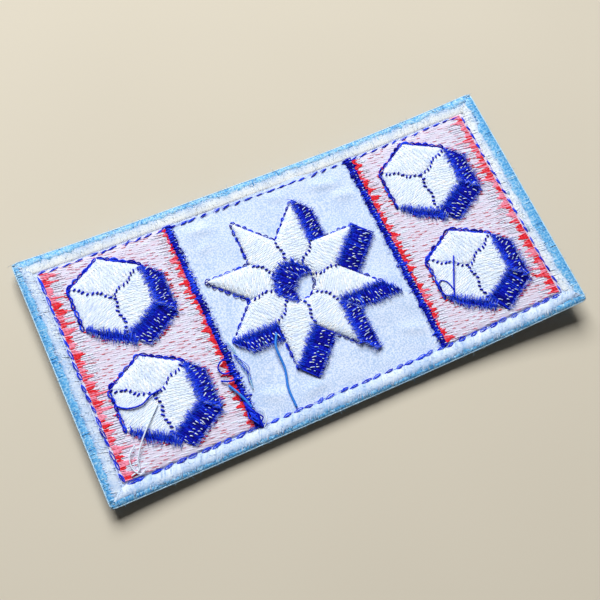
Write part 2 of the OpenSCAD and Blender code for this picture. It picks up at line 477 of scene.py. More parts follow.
def under(routes, top=0.0, shade=0.2):
    """A thin sheet through neighbouring routes, which closes the gaps between their threads.

    Its skin lies over the routes by top, on the side from which their rows run anticlockwise.
    """
    thickness = 0.12
    count, rings = routes.shape[:2]
    shades = np.broadcast_to(shade, (count, rings))
    bm = bmesh.new()
    tone = bm.verts.layers.float.new("tone")
    bmesh.ops.create_grid(bm, x_segments=rings - 1, y_segments=count - 1, size=1)
    for v in bm.verts:
        row = round((v.co.y + 1) / 2 * (count - 1))
        column = round((v.co.x + 1) / 2 * (rings - 1))
        v.co = routes[row, column]
        v[tone] = shades[row, column]
    bm.normal_update()
    for v in bm.verts:
        v.co += top * v.normal
    back = bmesh.ops.extrude_face_region(bm, geom=bm.faces[:], use_keep_orig=True)["geom"]
    for v in back:
        if isinstance(v, bmesh.types.BMVert):
            v.co -= thickness * v.normal
    bmesh.ops.recalc_face_normals(bm, faces=bm.faces)
    shades = np.array([v[tone] for v in bm.verts])
    points, corners, sizes = arrays_of(bm)
    return Bundle(points, corners, sizes, shades, np.zeros((len(corners), 2)))


def settle(piece, slot, nodes):
    """Puts a piece on the patch, in place of the frame nodes that it stands for"""
    bpy.context.scene.collection.objects.link(piece)
    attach(piece, "root")
    if nodes:
        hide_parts(*nodes)


def weave(name, bundles, finish, *nodes):
    """Joins bundles into one piece with a thread finish, in place of the frame nodes it stands for"""
    firsts = np.cumsum([0] + [len(b.points) for b in bundles[:-1]])
    bundles = [b._replace(corners=b.corners + first) for b, first in zip(bundles, firsts)]
    points, corners, face_sizes, shade, ply = (np.concatenate(arrays) for arrays in zip(*bundles))
    mesh = bpy.data.meshes.new(name)
    mesh.vertices.add(len(points))
    mesh.vertices.foreach_set("co", lift(points).ravel())
    mesh.loops.add(len(corners))
    mesh.loops.foreach_set("vertex_index", corners)
    mesh.polygons.add(len(face_sizes))
    mesh.polygons.foreach_set("loop_start", np.cumsum(face_sizes) - face_sizes)
    mesh.update(calc_edges=True)
    shades = mesh.attributes.new("shade", "FLOAT", "POINT")
    shades.data.foreach_set("value", shade.astype(np.float32))
    mesh.uv_layers.new(name="ply").uv.foreach_set("vector", ply.ravel().astype(np.float32))
    mesh.shade_smooth()
    slot, stops, options = FINISHES[finish]
    if finish not in bpy.data.materials:
        tints = bpy.context.scene.patch_colours
        thread_finish(finish, [(place, getattr(tints, tint)) for place, tint in stops], **options)
    mesh.materials.append(bpy.data.materials[finish])
    settle(bpy.data.objects.new(name, mesh), slot, nodes)


def lay_sheet(name, height_of, thickness, finish, slot, node, step):
    """A sheet the size of a frame node, with its top at a height and a point every step"""
    half = np.subtract(*plan_of(node)[::-1]) / 2
    cells = np.rint(2 * half / step).astype(int)
    mesh = bpy.data.meshes.new(name)
    bm = bmesh.new()
    bmesh.ops.create_grid(bm, x_segments=cells[0], y_segments=cells[1], size=1)
    bmesh.ops.scale(bm, vec=(*half, 1), verts=bm.verts)
    spots = np.array([v.co[:2] for v in bm.verts])
    for v, place in zip(bm.verts, lift(np.column_stack([spots, height_of(spots)]))):
        v.co = place
    bm.to_mesh(mesh)
    bm.free()
    mesh.shade_smooth()
    mesh.materials.append(finish)
    piece = bpy.data.objects.new(name, mesh)
    solid = piece.modifiers.new("thickness", "SOLIDIFY")
    solid.thickness = thickness * MM
    solid.offset = -1
    settle(piece, slot, [node])
    return piece, tuple(2 * half * MM)


# Shapes seen from above


def heading(degrees):
    """The direction at an angle, anticlockwise from the patch's length"""
    return np.array([math.cos(math.radians(degrees)), math.sin(math.radians(degrees))])


def left_of(way):
    """Directions turned a quarter anticlockwise"""
    return np.stack([-way[..., 1], way[..., 0]], axis=-1)


def spots_at(x, y):
    """Places from their x and y, either of which may be one number for all"""
    return np.stack(np.broadcast_arrays(x, y), axis=-1)


def pair(start, end):
    """Lines from starts to ends, as an array of lines by 2 ends by 2"""
    return np.stack([start, end], axis=1)


def along_lines(lines, t):
    """Places on each line, at shares of its length"""
    return lines[:, :1] + (lines[:, 1:] - lines[:, :1]) * t[:, None]


def outlines_of(node):
    """A motif's outline, anticlockwise, and after it the outline of the star's opening"""
    if node == "star":
        tip = (STAR_HIGH[0] - STAR_LOW[0]) / 2 / math.cos(math.pi / 8)
        notch = tip / (2 * math.cos(math.pi / 8))
        hole_tip = mm("star_hole") / 2 / math.cos(math.pi / 8)
        rim = [STAR_CENTRE + (notch if i % 2 else tip) * heading(22.5 * (i + 1)) for i in range(16)]
        hole = [STAR_CENTRE + hole_tip * heading(45 * i + 22.5) for i in range(8)]
        return [np.array(rim), np.array(hole)]
    low, high = plan_of(node)
    tip = (high[1] - low[1]) / 2
    return [np.array([(low + high) / 2 + tip * heading(60 * i + 30) for i in range(6)])]


def facets_of(node):
    """A motif's diamonds, less the star's opening, each with its threads' angle"""
    rim, *holes = outlines_of(node)
    for hole in holes:
        flat = np.linalg.norm((hole[0] + hole[1]) / 2 - STAR_CENTRE)
        for i in range(8):
            before = STAR_CENTRE + flat * heading(45 * i)
            after = STAR_CENTRE + flat * heading(45 * (i + 1))
            diamond = [before, rim[2 * i - 1], rim[2 * i], rim[2 * i + 1], after, hole[i]]
            yield np.array(diamond), 22.5 + 45 * i + 90
    if not holes:
        for i in range(3):
            diamond = [rim.mean(axis=0), rim[2 * i], rim[2 * i + 1], rim[(2 * i + 2) % 6]]
            yield np.array(diamond), 60 * (2 * i + 1) + 30


def shadow_of(node):
    """The frame node of a motif's drop shadow"""
    return "star_shadow" if node == "star" else node.replace("_", "_shadow_")


def hatch(outline, degrees, pitch, shortest=0.3):
    """Lines at an angle that fill an outline"""
    along = heading(degrees)
    across = heading(degrees + 90)
    u, v = outline @ along, outline @ across
    lines = []
    for level in np.arange(v.min() + pitch / 2, v.max(), pitch):
        cuts = []
        for i in range(len(outline)):
            j = (i + 1) % len(outline)
            if (v[i] - level) * (v[j] - level) < 0:
                cuts.append(u[i] + (u[j] - u[i]) * (level - v[i]) / (v[j] - v[i]))
        cuts.sort()
        for start, end in zip(cuts[::2], cuts[1::2]):
            if end - start > shortest:
                lines.append([start * along + level * across, end * along + level * across])
    return np.array(lines)


def beside(places, a, b):
    """How far along the line from a to b each place lies, from 0 to 1, and its distance from it"""
    t = np.clip((places - a) @ (b - a) / ((b - a) @ (b - a)), 0, 1)
    return t, np.linalg.norm(places - a - t[..., None] * (b - a), axis=-1)


def sides_of(outline):
    """Both ends of each of an outline's sides"""
    return zip(outline, np.roll(outline, -1, axis=0))


def rim_distance(places, outlines):
    """Distance from each place to the nearest side of the outlines"""
    return np.min([beside(places, a, b)[1] for rim in outlines for a, b in sides_of(rim)], axis=0)


def inside(places, outline):
    """Whether each place lies within an outline"""
    x, y = places[..., 0], places[..., 1]
    within = np.zeros(x.shape, bool)
    for (ax, ay), (bx, by) in sides_of(outline):
        if ay != by:
            within ^= ((ay > y) != (by > y)) & (x < (bx - ax) * (y - ay) / (by - ay) + ax)
    return within


def in_cast(places, outline):
    """Whether each place lies within an outline or its drop shadow"""
    steps = np.linspace(0, 1, 7)
    return np.any([inside(places - step * SHADOW_MOVE, outline) for step in steps], axis=0)


# Routes of threads


def ease(rings):
    """Places along a thread from 0 to 1, closer together at its ends"""
    return 0.5 - 0.5 * np.cos(np.linspace(0, math.pi, rings))


def arch(lines, foot, crown, rings=7, power=3):
    """Routes that rise from a foot over a crown and go down again"""
    t = ease(rings)
    places = along_lines(lines, t)
    rise = 1 - np.abs(2 * t - 1) ** power
    height = np.reshape(foot, (-1, 1)) + np.reshape(np.subtract(crown, foot), (-1, 1)) * rise
    return np.dstack([places, np.broadcast_to(height, places.shape[:2])])


def loosen(lines, rng, along=0.1, across=0.03):
    """Moves the ends of lines a little, as thread ends do"""
    way = unit(lines[:, 1] - lines[:, 0])
    moved = lines.copy()
    for end in (0, 1):
        moved[:, end] += way * rng.normal(0, along, (len(lines), 1))
        moved[:, end] += left_of(way) * rng.normal(0, across, (len(lines), 1))
    return moved


def smooth_route(points, rings):
    """A smooth route through given points"""
    points = np.array(points, float)
    padded = np.vstack([2 * points[0] - points[1], points, 2 * points[-1] - points[-2]])
    route = []
    for place in np.linspace(0, len(points) - 1 - 1e-6, rings):
        i, t = int(place), place % 1
        a, b, c, d = padded[i : i + 4]
        bend = 2 * a - 5 * b + 4 * c - d + t * (3 * (b - c) + d - a)
        route.append(b + 0.5 * t * (c - a + t * bend))
    return np.array([route])


def split_rows(rows, stitch, rng, shortest=0.4):
    """Splits rows into stitches whose ends lie brickwise"""
    stitches = []
    for row, (start, end) in enumerate(rows):
        reach = np.linalg.norm(end - start)
        marks = np.arange(stitch * ((row * 0.37) % 1), reach, stitch)
        marks = marks + rng.normal(0, 0.08 * stitch, len(marks))
        marks = marks[(marks > shortest) & (marks < reach - shortest)]
        marks = np.concatenate([[0], np.sort(marks), [reach]])[:, None] / reach
        ends = start + marks * (end - start)
        stitches += list(zip(ends[:-1], ends[1:]))
    return np.array(stitches)


def chain(lines, bulge, half_width, foot, rise, shades, rng):
    """Two strands for each stitch, which part in its middle and meet at its ends"""
    t = ease(7)
    arc = np.sin(math.pi * t)
    square = left_of(unit(lines[:, 1] - lines[:, 0]))[:, None]
    size = (len(lines), 1)
    bundles = []
    for strand in (-bulge, bulge):
        wide = strand * rng.uniform(0.3, 1.5, (*size, 1)) * arc[:, None]
        spots = along_lines(lines, t) + wide * square
        height = np.broadcast_to(np.reshape(foot, (-1, 1)) + rise * arc, spots.shape[:2])
        shade = rng.uniform(*shades, len(lines))
        girth = half_width * rng.uniform(0.65, 1.25, size) * (0.5 + 0.7 * arc)
        bundles.append(sweep(np.dstack([spots, height]), girth, shade=shade, sides=5))
    return bundles


def hairs(roots, size, half_width, shades, rng):
    """Fine hairs that start at places and bend at random, mostly along the surface"""
    count = len(roots)
    t = np.linspace(0, 1, 3)[:, None]
    way = rng.normal(0, 1, (count, 1, 3)) * [1, 1, 0.08] + [0, 0, 0.03]
    bend = rng.normal(0, 0.45, (count, 1, 3)) * [1, 1, 0.12]
    reach = size * rng.uniform(0.6, 1.4, (count, 1, 1))
    routes = roots[:, None] + reach * (unit(way) * t + bend * t**2)
    shade = rng.uniform(*shades, count)
    return sweep(routes, half_width, shade=shade, sides=3, flat=1.0, taper=0.6)


def patchy(rng, count, spread=0.25, run=6):
    """Shades that change from thread to thread and also slowly along a row"""
    knots = count // run + 2
    slow = np.interp(np.arange(count) / run, np.arange(knots), rng.random(knots))
    return np.clip(0.5 + (slow - 0.5) * spread * 2 + rng.normal(0, spread / 2, count), 0, 1)


# The border


def border_feet(pitch, rng):
    """Where threads cross the cut edge, side by side.

    Each side gives its name, the places, the ways in and along, the room to the nearer corner and
    how much the corner's rounding cuts off.
    """
    radius = mm("corner_radius")
    for side, x, y, degrees in (
        ("bottom", -HALF_X, -HALF_Y, 0),
        ("right", HALF_X, -HALF_Y, 90),
        ("top", HALF_X, HALF_Y, 180),
        ("left", -HALF_X, HALF_Y, 270),
    ):
        reach = 2 * (HALF_X if side in ("bottom", "top") else HALF_Y)
        count = int(reach / pitch)
        c = (np.arange(count) + 0.5) * reach / count + rng.normal(0, pitch * 0.1, count)
        room = np.clip(np.minimum(c, reach - c), 0.05, None)
        cut = radius - np.sqrt(radius**2 - np.clip(radius - room, 0, radius) ** 2)
        places = np.array([x, y]) + c[:, None] * heading(degrees)
        yield side, places, heading(degrees + 90), heading(degrees), room, cut


def border_width(name, side, places):
    """A width of the border beside each place, which passes into the next side's at a corner"""
    wide = mm(name)
    upright = side in ("left", "right")
    along, end = (places[:, 1], HALF_Y) if upright else (places[:, 0], HALF_X)
    before, after = ("bottom", "top") if upright else ("left", "right")
    change = np.where(along < 0, wide[before], wide[after]) - wide[side]
    near = np.clip((9 - (end - abs(along))) / 6, 0, 1)
    return wide[side] + 0.5 * change * near * near * (3 - 2 * near)


def band_height(side, t):
    """The white band's height over the film, from its outer side at 0 to its inner side at 1"""
    crown = mm("band_crown") * on_side("band crown", side)
    arched = np.sin(math.pi * np.clip(t, 0, 1) ** 0.9) ** 0.42
    return 0.1 + (crown - 0.1) * arched - 0.2 * np.clip(1.8 * t - 0.8, 0, 1)


def across_border(places, inward, room, cut, depths, heights, first):
    """Routes across the border, from their distances from the cut edge and their heights.

    Each route ends at the corner's mitre, and first is its ring nearest the cut edge.
    """
    section = np.dstack([np.maximum(depths, cut[:, None]), heights])
    for order in (range(first + 1, section.shape[1]), range(first - 1, -1, -1)):
        last = first
        for ring in order:
            change = section[:, ring] - section[:, last]
            share = np.clip((room - section[:, last, 0]) / np.maximum(change[:, 0], 1e-6), 0, 1)
            section[:, ring] = section[:, last] + share[:, None] * change
            last = ring
    return np.dstack([places[:, None] + section[..., :1] * inward, section[..., 1]])


def lip_section(side, places, skin, rng):
    """Depths and heights of wrapped threads, from inside the lip round the cut edge to the face.

    Each is an array of threads by rings, and skin is how far the threads' middle stays inside.
    """
    count = len(places)
    loose = patchy(rng, count, 0.6, run=3) - 0.5
    end = border_width("lip", side, places) + 0.6 * loose + rng.normal(0, 0.28, count)
    top = BACK_Z + on_side("lip height", side) + rng.normal(0, 0.03, count)
    inner = border_width("band", side, places) + rng.normal(0, 0.05, count)
    section = (
        (end, top - 0.2),
        (end * 0.6, top),
        (0.32, top - 0.1),
        (skin, top - 0.36),
        (skin + 0.02, BACK_Z * 0.75),
        (skin + 0.3, 0.55),
        (skin + 0.6, 0.24),
        (inner * 0.5, skin),
        (inner - 0.3, skin),
        (inner, 0.36),
    )
    for values in zip(*section):
        yield np.stack([np.broadcast_to(value, count) for value in values], axis=1)


def edge_bead(rng):
    """The thin pale bead along each side, which seals the cut edge, in a pale tone that is also a
    painted highlight where the rim catches the light
    """
    for side, places, inward, along, room, cut in border_feet(pitch=0.6, rng=rng):
        spots = places + np.maximum(cut, 0.04)[:, None] * inward
        height = BACK_Z + 0.04 + rng.normal(0, 0.015, (len(spots), 1))
        # Shade 1.2 takes the light-blue ramp's lightest stop: a painted highlight along the rim
        yield sweep(np.hstack([spots, height])[None], half_width=0.13, flat=0.9, shade=1.2, sides=5)


class PATCH_OT_border_edge(bpy.types.Operator):
    """Wraps light-blue threads round the cut edge, which is sealed with a thin pale bead. The wall gets
    a painted highlight at its rim and painted shade below it
    """

    bl_idname = "patch.border_edge"
    bl_label = "Border edge"

    def execute(self, context):
        rng = default_rng(11)
        bundles = []
        hair = mm("lip_thread")
        for side, places, inward, along, room, cut in border_feet(mm("lip_pitch"), rng):
            count = len(places)
            depths, heights = lip_section(side, places, hair * 0.5, rng)
            routes = across_border(places, inward, room + 0.1, cut, depths, heights, first=3)
            core = routes[::3].copy()
            routes[..., :2] += rng.normal(0, 0.05, (count, 1, 1)) * along
            # Tones ring by ring, from the lip's inner end round the cut edge to the face: the top of the
            # wall has a painted highlight, the wall below it and its foot have painted shade, and the
            # side's lip light adds painted light on the top lip
            tone = np.array([1.0, 0.66, 0.58, 0.9, 0.0, 0.0, 0.3, 0.55, 0.55, 0.55])
            tone[:3] += on_side("lip painted light", side)
            shade = tone + 0.6 * (patchy(rng, count, 0.4)[:, None] - 0.5)
            girth = hair * rng.uniform(0.8, 1.2, count)
            way = np.append(-along, 0.0)
            bundles.append(sweep(routes, girth, flat=0.5, shade=shade, side=way, sides=4))
            bundles.append(under(core, top=0.09, shade=tone))
        bundles += edge_bead(rng)
        weave("border_edge_threads", bundles, "light-blue thread", "border_edge")
        return {"FINISHED"}


class PATCH_OT_border_band(bpy.types.Operator):
    """Lays the raised white bobbin threads inside the lip"""

    bl_idname = "patch.border_band"
    bl_label = "Border band"

    def execute(self, context):
        rng = default_rng(12)
        bundles = []
        t = ease(8)
        for side, places, inward, along, room, cut in border_feet(mm("band_pitch"), rng):
            slant, flat, cover = (1.0, 0.55, 0.08) if side == "bottom" else (0.35, 0.5, 0.07)
            # Tones from the lip's blue into the white, then painted light and shade by side: lighter on
            # the top and right band, darker towards the inner side of the left and bottom band
            tone = np.array([0.0, 0.12, 0.34, 0.55, 0.64, 0.68, 0.66, 0.6])
            tone += on_side("band painted light", side) * t
            for step, loose, past in ((1, 1.0, 0.0), (3, 0.15, 0.25)):
                feet = places[::step]
                size = (len(feet), 1)
                start = border_width("lip", side, feet) - 0.85
                start += 0.8 * loose * (patchy(rng, len(feet), 0.5, run=2) - 0.5)
                end = border_width("band", side, feet) + 0.05 + loose * rng.normal(0, 0.08, len(feet))
                depth = start[:, None] + (end - start)[:, None] * t + past * (t == 1)
                height = BACK_Z + band_height(side, t) - past * (t == 1)
                height = height + loose * rng.normal(0, 0.02, size)
                spare = room[::step] + 0.12
                routes = across_border(feet, inward, spare, cut[::step], depth, height, first=0)
                lean = slant + loose * rng.normal(0, 0.15, (*size, 1))
                routes[..., :2] += lean * (t - 0.5)[:, None] * along
                shade = tone + 0.45 * (patchy(rng, len(feet), 0.3, run=3) - 0.5)[:, None]
                keep = room[::step] > start + 0.1
                routes, shade = routes[keep], shade[keep]
                if step == 1:
                    bundles.append(sweep(routes, mm("band_thread"), flat=flat, shade=shade, sides=4))
                else:
                    bundles.append(under(routes[:, ::-1], top=cover, shade=shade[:, ::-1]))
        weave("border_band_threads", bundles, "felted thread", "border_band")
        return {"FINISHED"}


class PATCH_OT_border_fuzz(bpy.types.Operator):
    """Adds the fine hairs that stand up from the lip and the band"""

    bl_idname = "patch.border_fuzz"
    bl_label = "Border fuzz"

    def execute(self, context):
        # Name, finish, seed and number of the hairs, and then their length, half width and tones
        for name, finish, seed, count, look in (
            ("lip_fuzz", "light-blue thread", 21, 4000, (0.46, 0.028, (0.5, 1.1))),
            ("band_fuzz", "felted thread", 22, 3000, (0.42, 0.022, (0.55, 0.95))),
        ):
            rng = default_rng(seed)
            roots = []
            for side, places, inward, along, room, cut in border_feet(pitch=0.04, rng=rng):
                lip = border_width("lip", side, places)
                end = border_width("band", side, places)
                low, high = (lip - 0.3, end + 0.7 * (side == "left"))
                if name == "lip_fuzz":
                    low, high = (0.0 * lip, lip + 0.2)
                depth = rng.uniform(low, high, len(places))
                seam = rng.random(len(places)) < 0.4
                depth = np.where(seam, rng.normal(lip - 0.1, 0.5, len(places)), depth)
                rise = 0.05 + band_height(side, (depth - lip + 0.85) / (end - lip + 0.9))
                over = np.where(depth < lip, on_side("lip height", side) + 0.03, 0.0)
                height = BACK_Z + np.maximum(rise, over - 0.3 * (depth < 0.3))
                spots = places + depth[:, None] * inward
                keep = (depth < room) & (depth > 0)
                roots.append(np.hstack([spots, height[:, None]])[keep])
            roots = rng.permutation(np.vstack(roots))[:count]
            weave(name, [hairs(roots, *look, rng)], finish)
        return {"FINISHED"}


class PATCH_OT_field_ring(bpy.types.Operator):
    """Sews the navy running stitch round the field, each stitch of two strands"""

    bl_idname = "patch.field_ring"
    bl_label = "Running stitch"

    def execute(self, context):
        rng = default_rng(13)
        bundles = []
        order = ("left", "bottom", "right", "top", "left", "bottom")
        panel = plan_of("panel_fill_right")[0][0]
        for side, places, inward, along, room, cut in border_feet(1.09 * mm("ring_pitch"), rng):
            size = (len(places), 1)
            turn = order.index(side, 1)
            before, inset, after = (mm("ring")[name] for name in order[turn - 1 : turn + 2])
            reach = 2 * abs(along @ [HALF_X, HALF_Y])
            shift = (before - after) / 2 - (places @ along) * (before + after) / reach
            middle = places + shift[:, None] * along
            middle += (inset + rng.normal(0, 0.06, size)) * inward
            half = 0.5 * mm("ring_stitch") * rng.uniform(0.75, 1.25, size) * along
            half = half * on_side("ring length", side)
            lean = rng.normal(0.18, 0.1, size) * inward
            lines = pair(middle - half - lean, middle + half + lean)
            foot, rise, tones = BACK_Z + 0.06, 0.3, (0.5, 1.3)
            if side != "bottom":
                foot = BACK_Z + np.where(abs(middle[:, 0]) > panel, 0.13, 0.04)
                rise, tones = 0.09, (0.3, 1.1)
            strand = mm("ring_thread") * on_side("ring strand", side)
            bundles += chain(lines, on_side("ring bulge", side), strand, foot, rise, tones, rng)
            reach = 0.5 * mm("ring_pitch") * along
            thin = loosen(pair(middle - reach, middle + reach), rng, along=0.2, across=0.12)
            bulge, strand, tones = (0.08, 0.05, (0.5, 1.2))
            bundles += chain(thin, bulge, strand, foot, rise, tones, rng)[:1]
        weave("field_running_stitch", bundles, "navy thread")
        return {"FINISHED"}


# The film and the cloth

# Creases of the film: both ends, the height and the width
CREASES = (
    ((-17.2, 19.4), (-11.2, 18.0), 0.34, 0.8),
    ((-16.9, 14.2), (-13.4, 15.4), 0.22, 0.7),
    ((9.2, 19.4), (16.8, 17.6), 0.34, 0.8),
    ((12.6, 15.6), (18.4, 14.4), 0.24, 0.7),
    ((-17.8, -15.8), (-12.0, -18.6), 0.26, 0.8),
    ((12.4, -14.6), (18.7, -17.2), 0.3, 0.8),
    ((15.6, 5.0), (19.0, 5.4), -0.2, 0.7),
    ((-19.0, 7.9), (-15.4, 6.2), -0.2, 0.7),
    ((0.2, 20.4), (4.9, 18.4), 0.24, 0.7),
    ((-9.6, -19.4), (-3.4, -18.6), 0.24, 0.8),
)


def film_height(spots):
    """The film's height, with broad waves and creases where it is bare and a groove along the ring"""
    rng = default_rng(14)
    top = FILM_Z + mm("film_thickness")
    height = np.full(len(spots), top)
    for wavelength in (14, 9, 6, 4.2):
        for _ in range(4):
            way = heading(rng.uniform(0, 360)) * math.tau / wavelength
            height += 0.0018 * wavelength * np.sin(spots @ way + rng.uniform(0, math.tau))
    for start, end, tall, wide in CREASES:
        t, away = beside(spots, np.array(start), np.array(end))
        height += tall * np.sin(math.pi * t) * np.exp(-((away / wide) ** 2))
    bare = abs(spots[:, 0]) < plan_of("divider_right")[0][0]
    inset = np.minimum(HALF_X - abs(spots[:, 0]), HALF_Y - abs(spots[:, 1]))
    groove = 0.05 * np.exp(-(((inset - mm("ring")["top"]) / 0.5) ** 2))
    return np.where(inset > 2.2, np.where(bare, height, top - 0.05) - groove, top - 0.05)


class PATCH_OT_backing_film(bpy.types.Operator):
    """Lays the smooth backing film, with puckers between the stitches and a few creases"""

    bl_idname = "patch.backing_film"
    bl_label = "Backing film"

    def execute(self, context):
        look = (mm("film_thickness"), film_finish(), "film", "backing_film")
        piece, flat = lay_sheet("backing_film_sheet", film_height, *look, step=0.7)
        return {"FINISHED"}


class PATCH_OT_ground_cloth(bpy.types.Operator):
    """Lays the ground cloth that everything is stitched on"""

    bl_idname = "patch.ground_cloth"
    bl_label = "Ground cloth"

    def execute(self, context):
        def cloth_height(spots):
            return np.full(len(spots), CLOTH_Z + mm("cloth_thickness"))

        look = (mm("cloth_thickness"), twill_finish(), "cloth", "ground_cloth")
        piece, flat = lay_sheet("ground_cloth_sheet", cloth_height, *look, step=1.5)
        return {"FINISHED"}


# The side panels


def hexagons_of(fill):
    """The outlines of the two hexagons on a side panel"""
    at_right = plan_of(fill)[0][0] > 0
    return [outlines_of(node)[0] for node in HEXAGONS if (plan_of(node)[0][0] > 0) == at_right]


def fill_lines(fill, pitch, degrees, rng):
    """Stitches that fill a side panel in rows, open where its hexagons lie"""
    low, high = plan_of(fill)
    edge = np.array([low, [high[0], low[1]], high, [low[0], high[1]]])
    lines = split_rows(hatch(edge, degrees, pitch), mm("fill_stitch"), rng)
    for outline in hexagons_of(fill):
        lines = lines[~(in_cast(lines[:, 0], outline) & in_cast(lines[:, 1], outline))]
    return lines


def red_ticks(lines, outline, rng):
    """Short red ends where stitches of a fill run up to a motif or its shadow"""
    spots = along_lines(lines, np.linspace(0, 1, 17))
    hit = in_cast(spots, outline)
    ticks = []
    for into in (True, False):
        crossing = (hit[:, -1] == into) & (hit[:, 0] != into) & (rng.random(len(lines)) < 0.5)
        first = np.argmax(hit[crossing] == into, axis=1)
        start = spots[crossing][np.arange(len(first)), first]
        out = unit(lines[crossing, 0] - lines[crossing, 1]) * (1 if into else -1)
        ticks.append(pair(start, start + out * rng.uniform(0.4, 1.3, (len(first), 1))))
    return np.concatenate(ticks)


def fill_rows(fill, lines, rng):
    """A fill's stitches, and the sheet beneath them, which reaches past the panel's ends"""
    low, high = plan_of(fill)
    loose = loosen(lines, rng, along=0.1, across=0.04)
    routes = arch(loose, foot=BACK_Z, crown=BACK_Z + 0.1, rings=6, power=4)
    shade = np.clip(rng.normal(0.5, 0.26, len(lines)), 0, 1)
    rows = sweep(routes, mm("fill_thread"), flat=0.3, shade=shade, sides=4)
    level = np.linspace(low[1] + 0.1, high[1] - 0.1, 28)
    level = np.concatenate([[low[1] - 0.3], level, [high[1] + 0.3]])
    height = np.full(len(level), BACK_Z)
    height[[0, -1]] -= 0.17
    base = arch(pair(spots_at(low[0], level), spots_at(high[0], level)), height, height, rings=31)
    return [rows, under(base, top=0.13, shade=0.42)]


def red_flecks(fill, lines, rng):
    """Red thread that shows between a fill's rows and at its ends beside the hexagons"""
    high = plan_of(fill)[1]
    start, end = lines[rng.random(len(lines)) < 0.6].swapaxes(0, 1)
    way = unit(end - start)
    start = end - way * rng.uniform(0.1, 0.9, (len(way), 1)) + [0, mm("fill_pitch") / 2]
    dashes = pair(start, start + way * rng.uniform(0.5, 1.7, (len(way), 1)))
    keep = (dashes[:, 1, 0] < high[0]) & (dashes[:, 0, 1] < high[1])
    ticks = []
    for outline in hexagons_of(fill):
        keep &= ~in_cast(dashes[:, 0], outline)
        ticks.append(red_ticks(lines, outline, rng))
    fine = arch(dashes[keep], foot=BACK_Z + 0.1, crown=BACK_Z + 0.19, rings=4)
    thick = arch(np.concatenate(ticks), foot=BACK_Z + 0.12, crown=BACK_Z + 0.24, rings=4)
    return [
        sweep(fine, half_width=0.05, shade=rng.uniform(0.5, 1.2, len(fine)), sides=4),
        sweep(thick, half_width=0.12, flat=0.6, shade=rng.uniform(0, 1, len(thick)), sides=4),
    ]


class PATCH_OT_panel_fills(bpy.types.Operator):
    """Fills the side panels with rows of pale bobbin thread, and the red thread that peeps out"""

    bl_idname = "patch.panel_fills"
    bl_label = "Panel fills"

    def execute(self, context):
        for seed, fill in enumerate(FILLS, start=31):
            rng = default_rng(seed)
            lines = fill_lines(fill, mm("fill_pitch"), -8, rng)
            weave(fill + "_threads", fill_rows(fill, lines, rng), "pink thread", fill)
            weave(fill + "_red_flecks", red_flecks(fill, lines, rng), "red thread")
        return {"FINISHED"}


# How the outer red edges differ from the inner ones: the width of their solid part and the length of
# their teeth, how far back these start, how light they are, and then the share of the threads that
# bobbin thread covers, how long that is and how far in it starts
Teeth = namedtuple("Teeth", "solid tall tuck light covered longer skipped")
OUTER_TEETH = Teeth(1.8, 1.4, 0.12, 1.3, 0.85, 1.25, 0.45)
INNER_TEETH = Teeth(1, 1, 0.1, 0.7, 0.3, 1, 0.1)


def red_teeth(y, gaps, base, way, look, rng):
    """Red thread ends side by side, which make a solid edge and teeth between the gaps"""
    count = len(y)
    tooth = np.searchsorted(gaps, y) - 1
    middle = (gaps[tooth] + gaps[tooth + 1]) / 2
    peak = np.clip(1.15 - 2 * abs(y - middle) / (gaps[tooth + 1] - gaps[tooth]), 0, 1)
    tall = mm("tooth") * rng.uniform(0.3, 1.3, len(gaps))[tooth] * look.tall
    reach = mm("red_solid") * look.solid * rng.uniform(0.6, 1.4, count)
    reach += tall * peak * rng.uniform(0.5, 1.2, count)
    start = spots_at(base - way * look.tuck, y)
    closer = (middle - y) * 0.5 * peak
    end = start + spots_at(way * (reach + 0.1), closer - 0.12 * way * reach)
    lines = loosen(pair(start, end), rng, along=0.04, across=0.04)
    routes = arch(lines, foot=BACK_Z + 0.12, crown=BACK_Z + 0.18, rings=6)
    shade = patchy(rng, count, 0.5, run=3) * look.light + rng.uniform(-0.1, 0.45, count)
    return sweep(routes, mm("red_thread"), flat=0.5, shade=shade, sides=5)


def tooth_cover(y, base, way, look, rng):
    """Bobbin threads that lie across the teeth"""
    count = len(y)
    y = y + rng.normal(0, 0.1, count)
    size = rng.uniform(1.2, 2.6, count) * look.longer
    start = spots_at(base + way * (rng.uniform(0.0, 0.7, count) + look.skipped), y)
    end = start + spots_at(way * size, -0.12 * way * size)
    routes = arch(pair(start, end), foot=BACK_Z + 0.12, crown=BACK_Z + 0.16, rings=6)
    return sweep(routes, half_width=0.15, flat=0.35, shade=rng.uniform(0.3, 0.9, count), sides=4)


class PATCH_OT_red_edges(bpy.types.Operator):
    """Lays the red thread ends that stand in teeth along the fills"""

    bl_idname = "patch.red_edges"
    bl_label = "Red edges"

    def execute(self, context):
        for seed, (node, way) in enumerate(RED_EDGES.items(), start=41):
            rng = default_rng(seed)
            low, high = plan_of(node)
            base, look = (low if way > 0 else high)[0], INNER_TEETH
            if node.endswith("outer"):
                inset = mm("ring")["left" if way > 0 else "right"] + 0.35
                base, look = way * (inset - HALF_X), OUTER_TEETH
            y = np.arange(low[1] + 0.1, high[1], mm("red_pitch"))
            gaps = np.append(0, np.cumsum(mm("tooth_pitch") * rng.uniform(0.45, 1.5, 60))) + low[1]
            teeth = red_teeth(y, gaps, base, way, look, rng)
            weave(node + "_threads", [teeth], "red thread", node)
            over = np.concatenate([gaps, y[rng.random(len(y)) < look.covered]])
            over = over[(over > low[1]) & (over < high[1])]
            weave(node + "_cover", [tooth_cover(over, base, way, look, rng)], "pink thread")
        return {"FINISHED"}


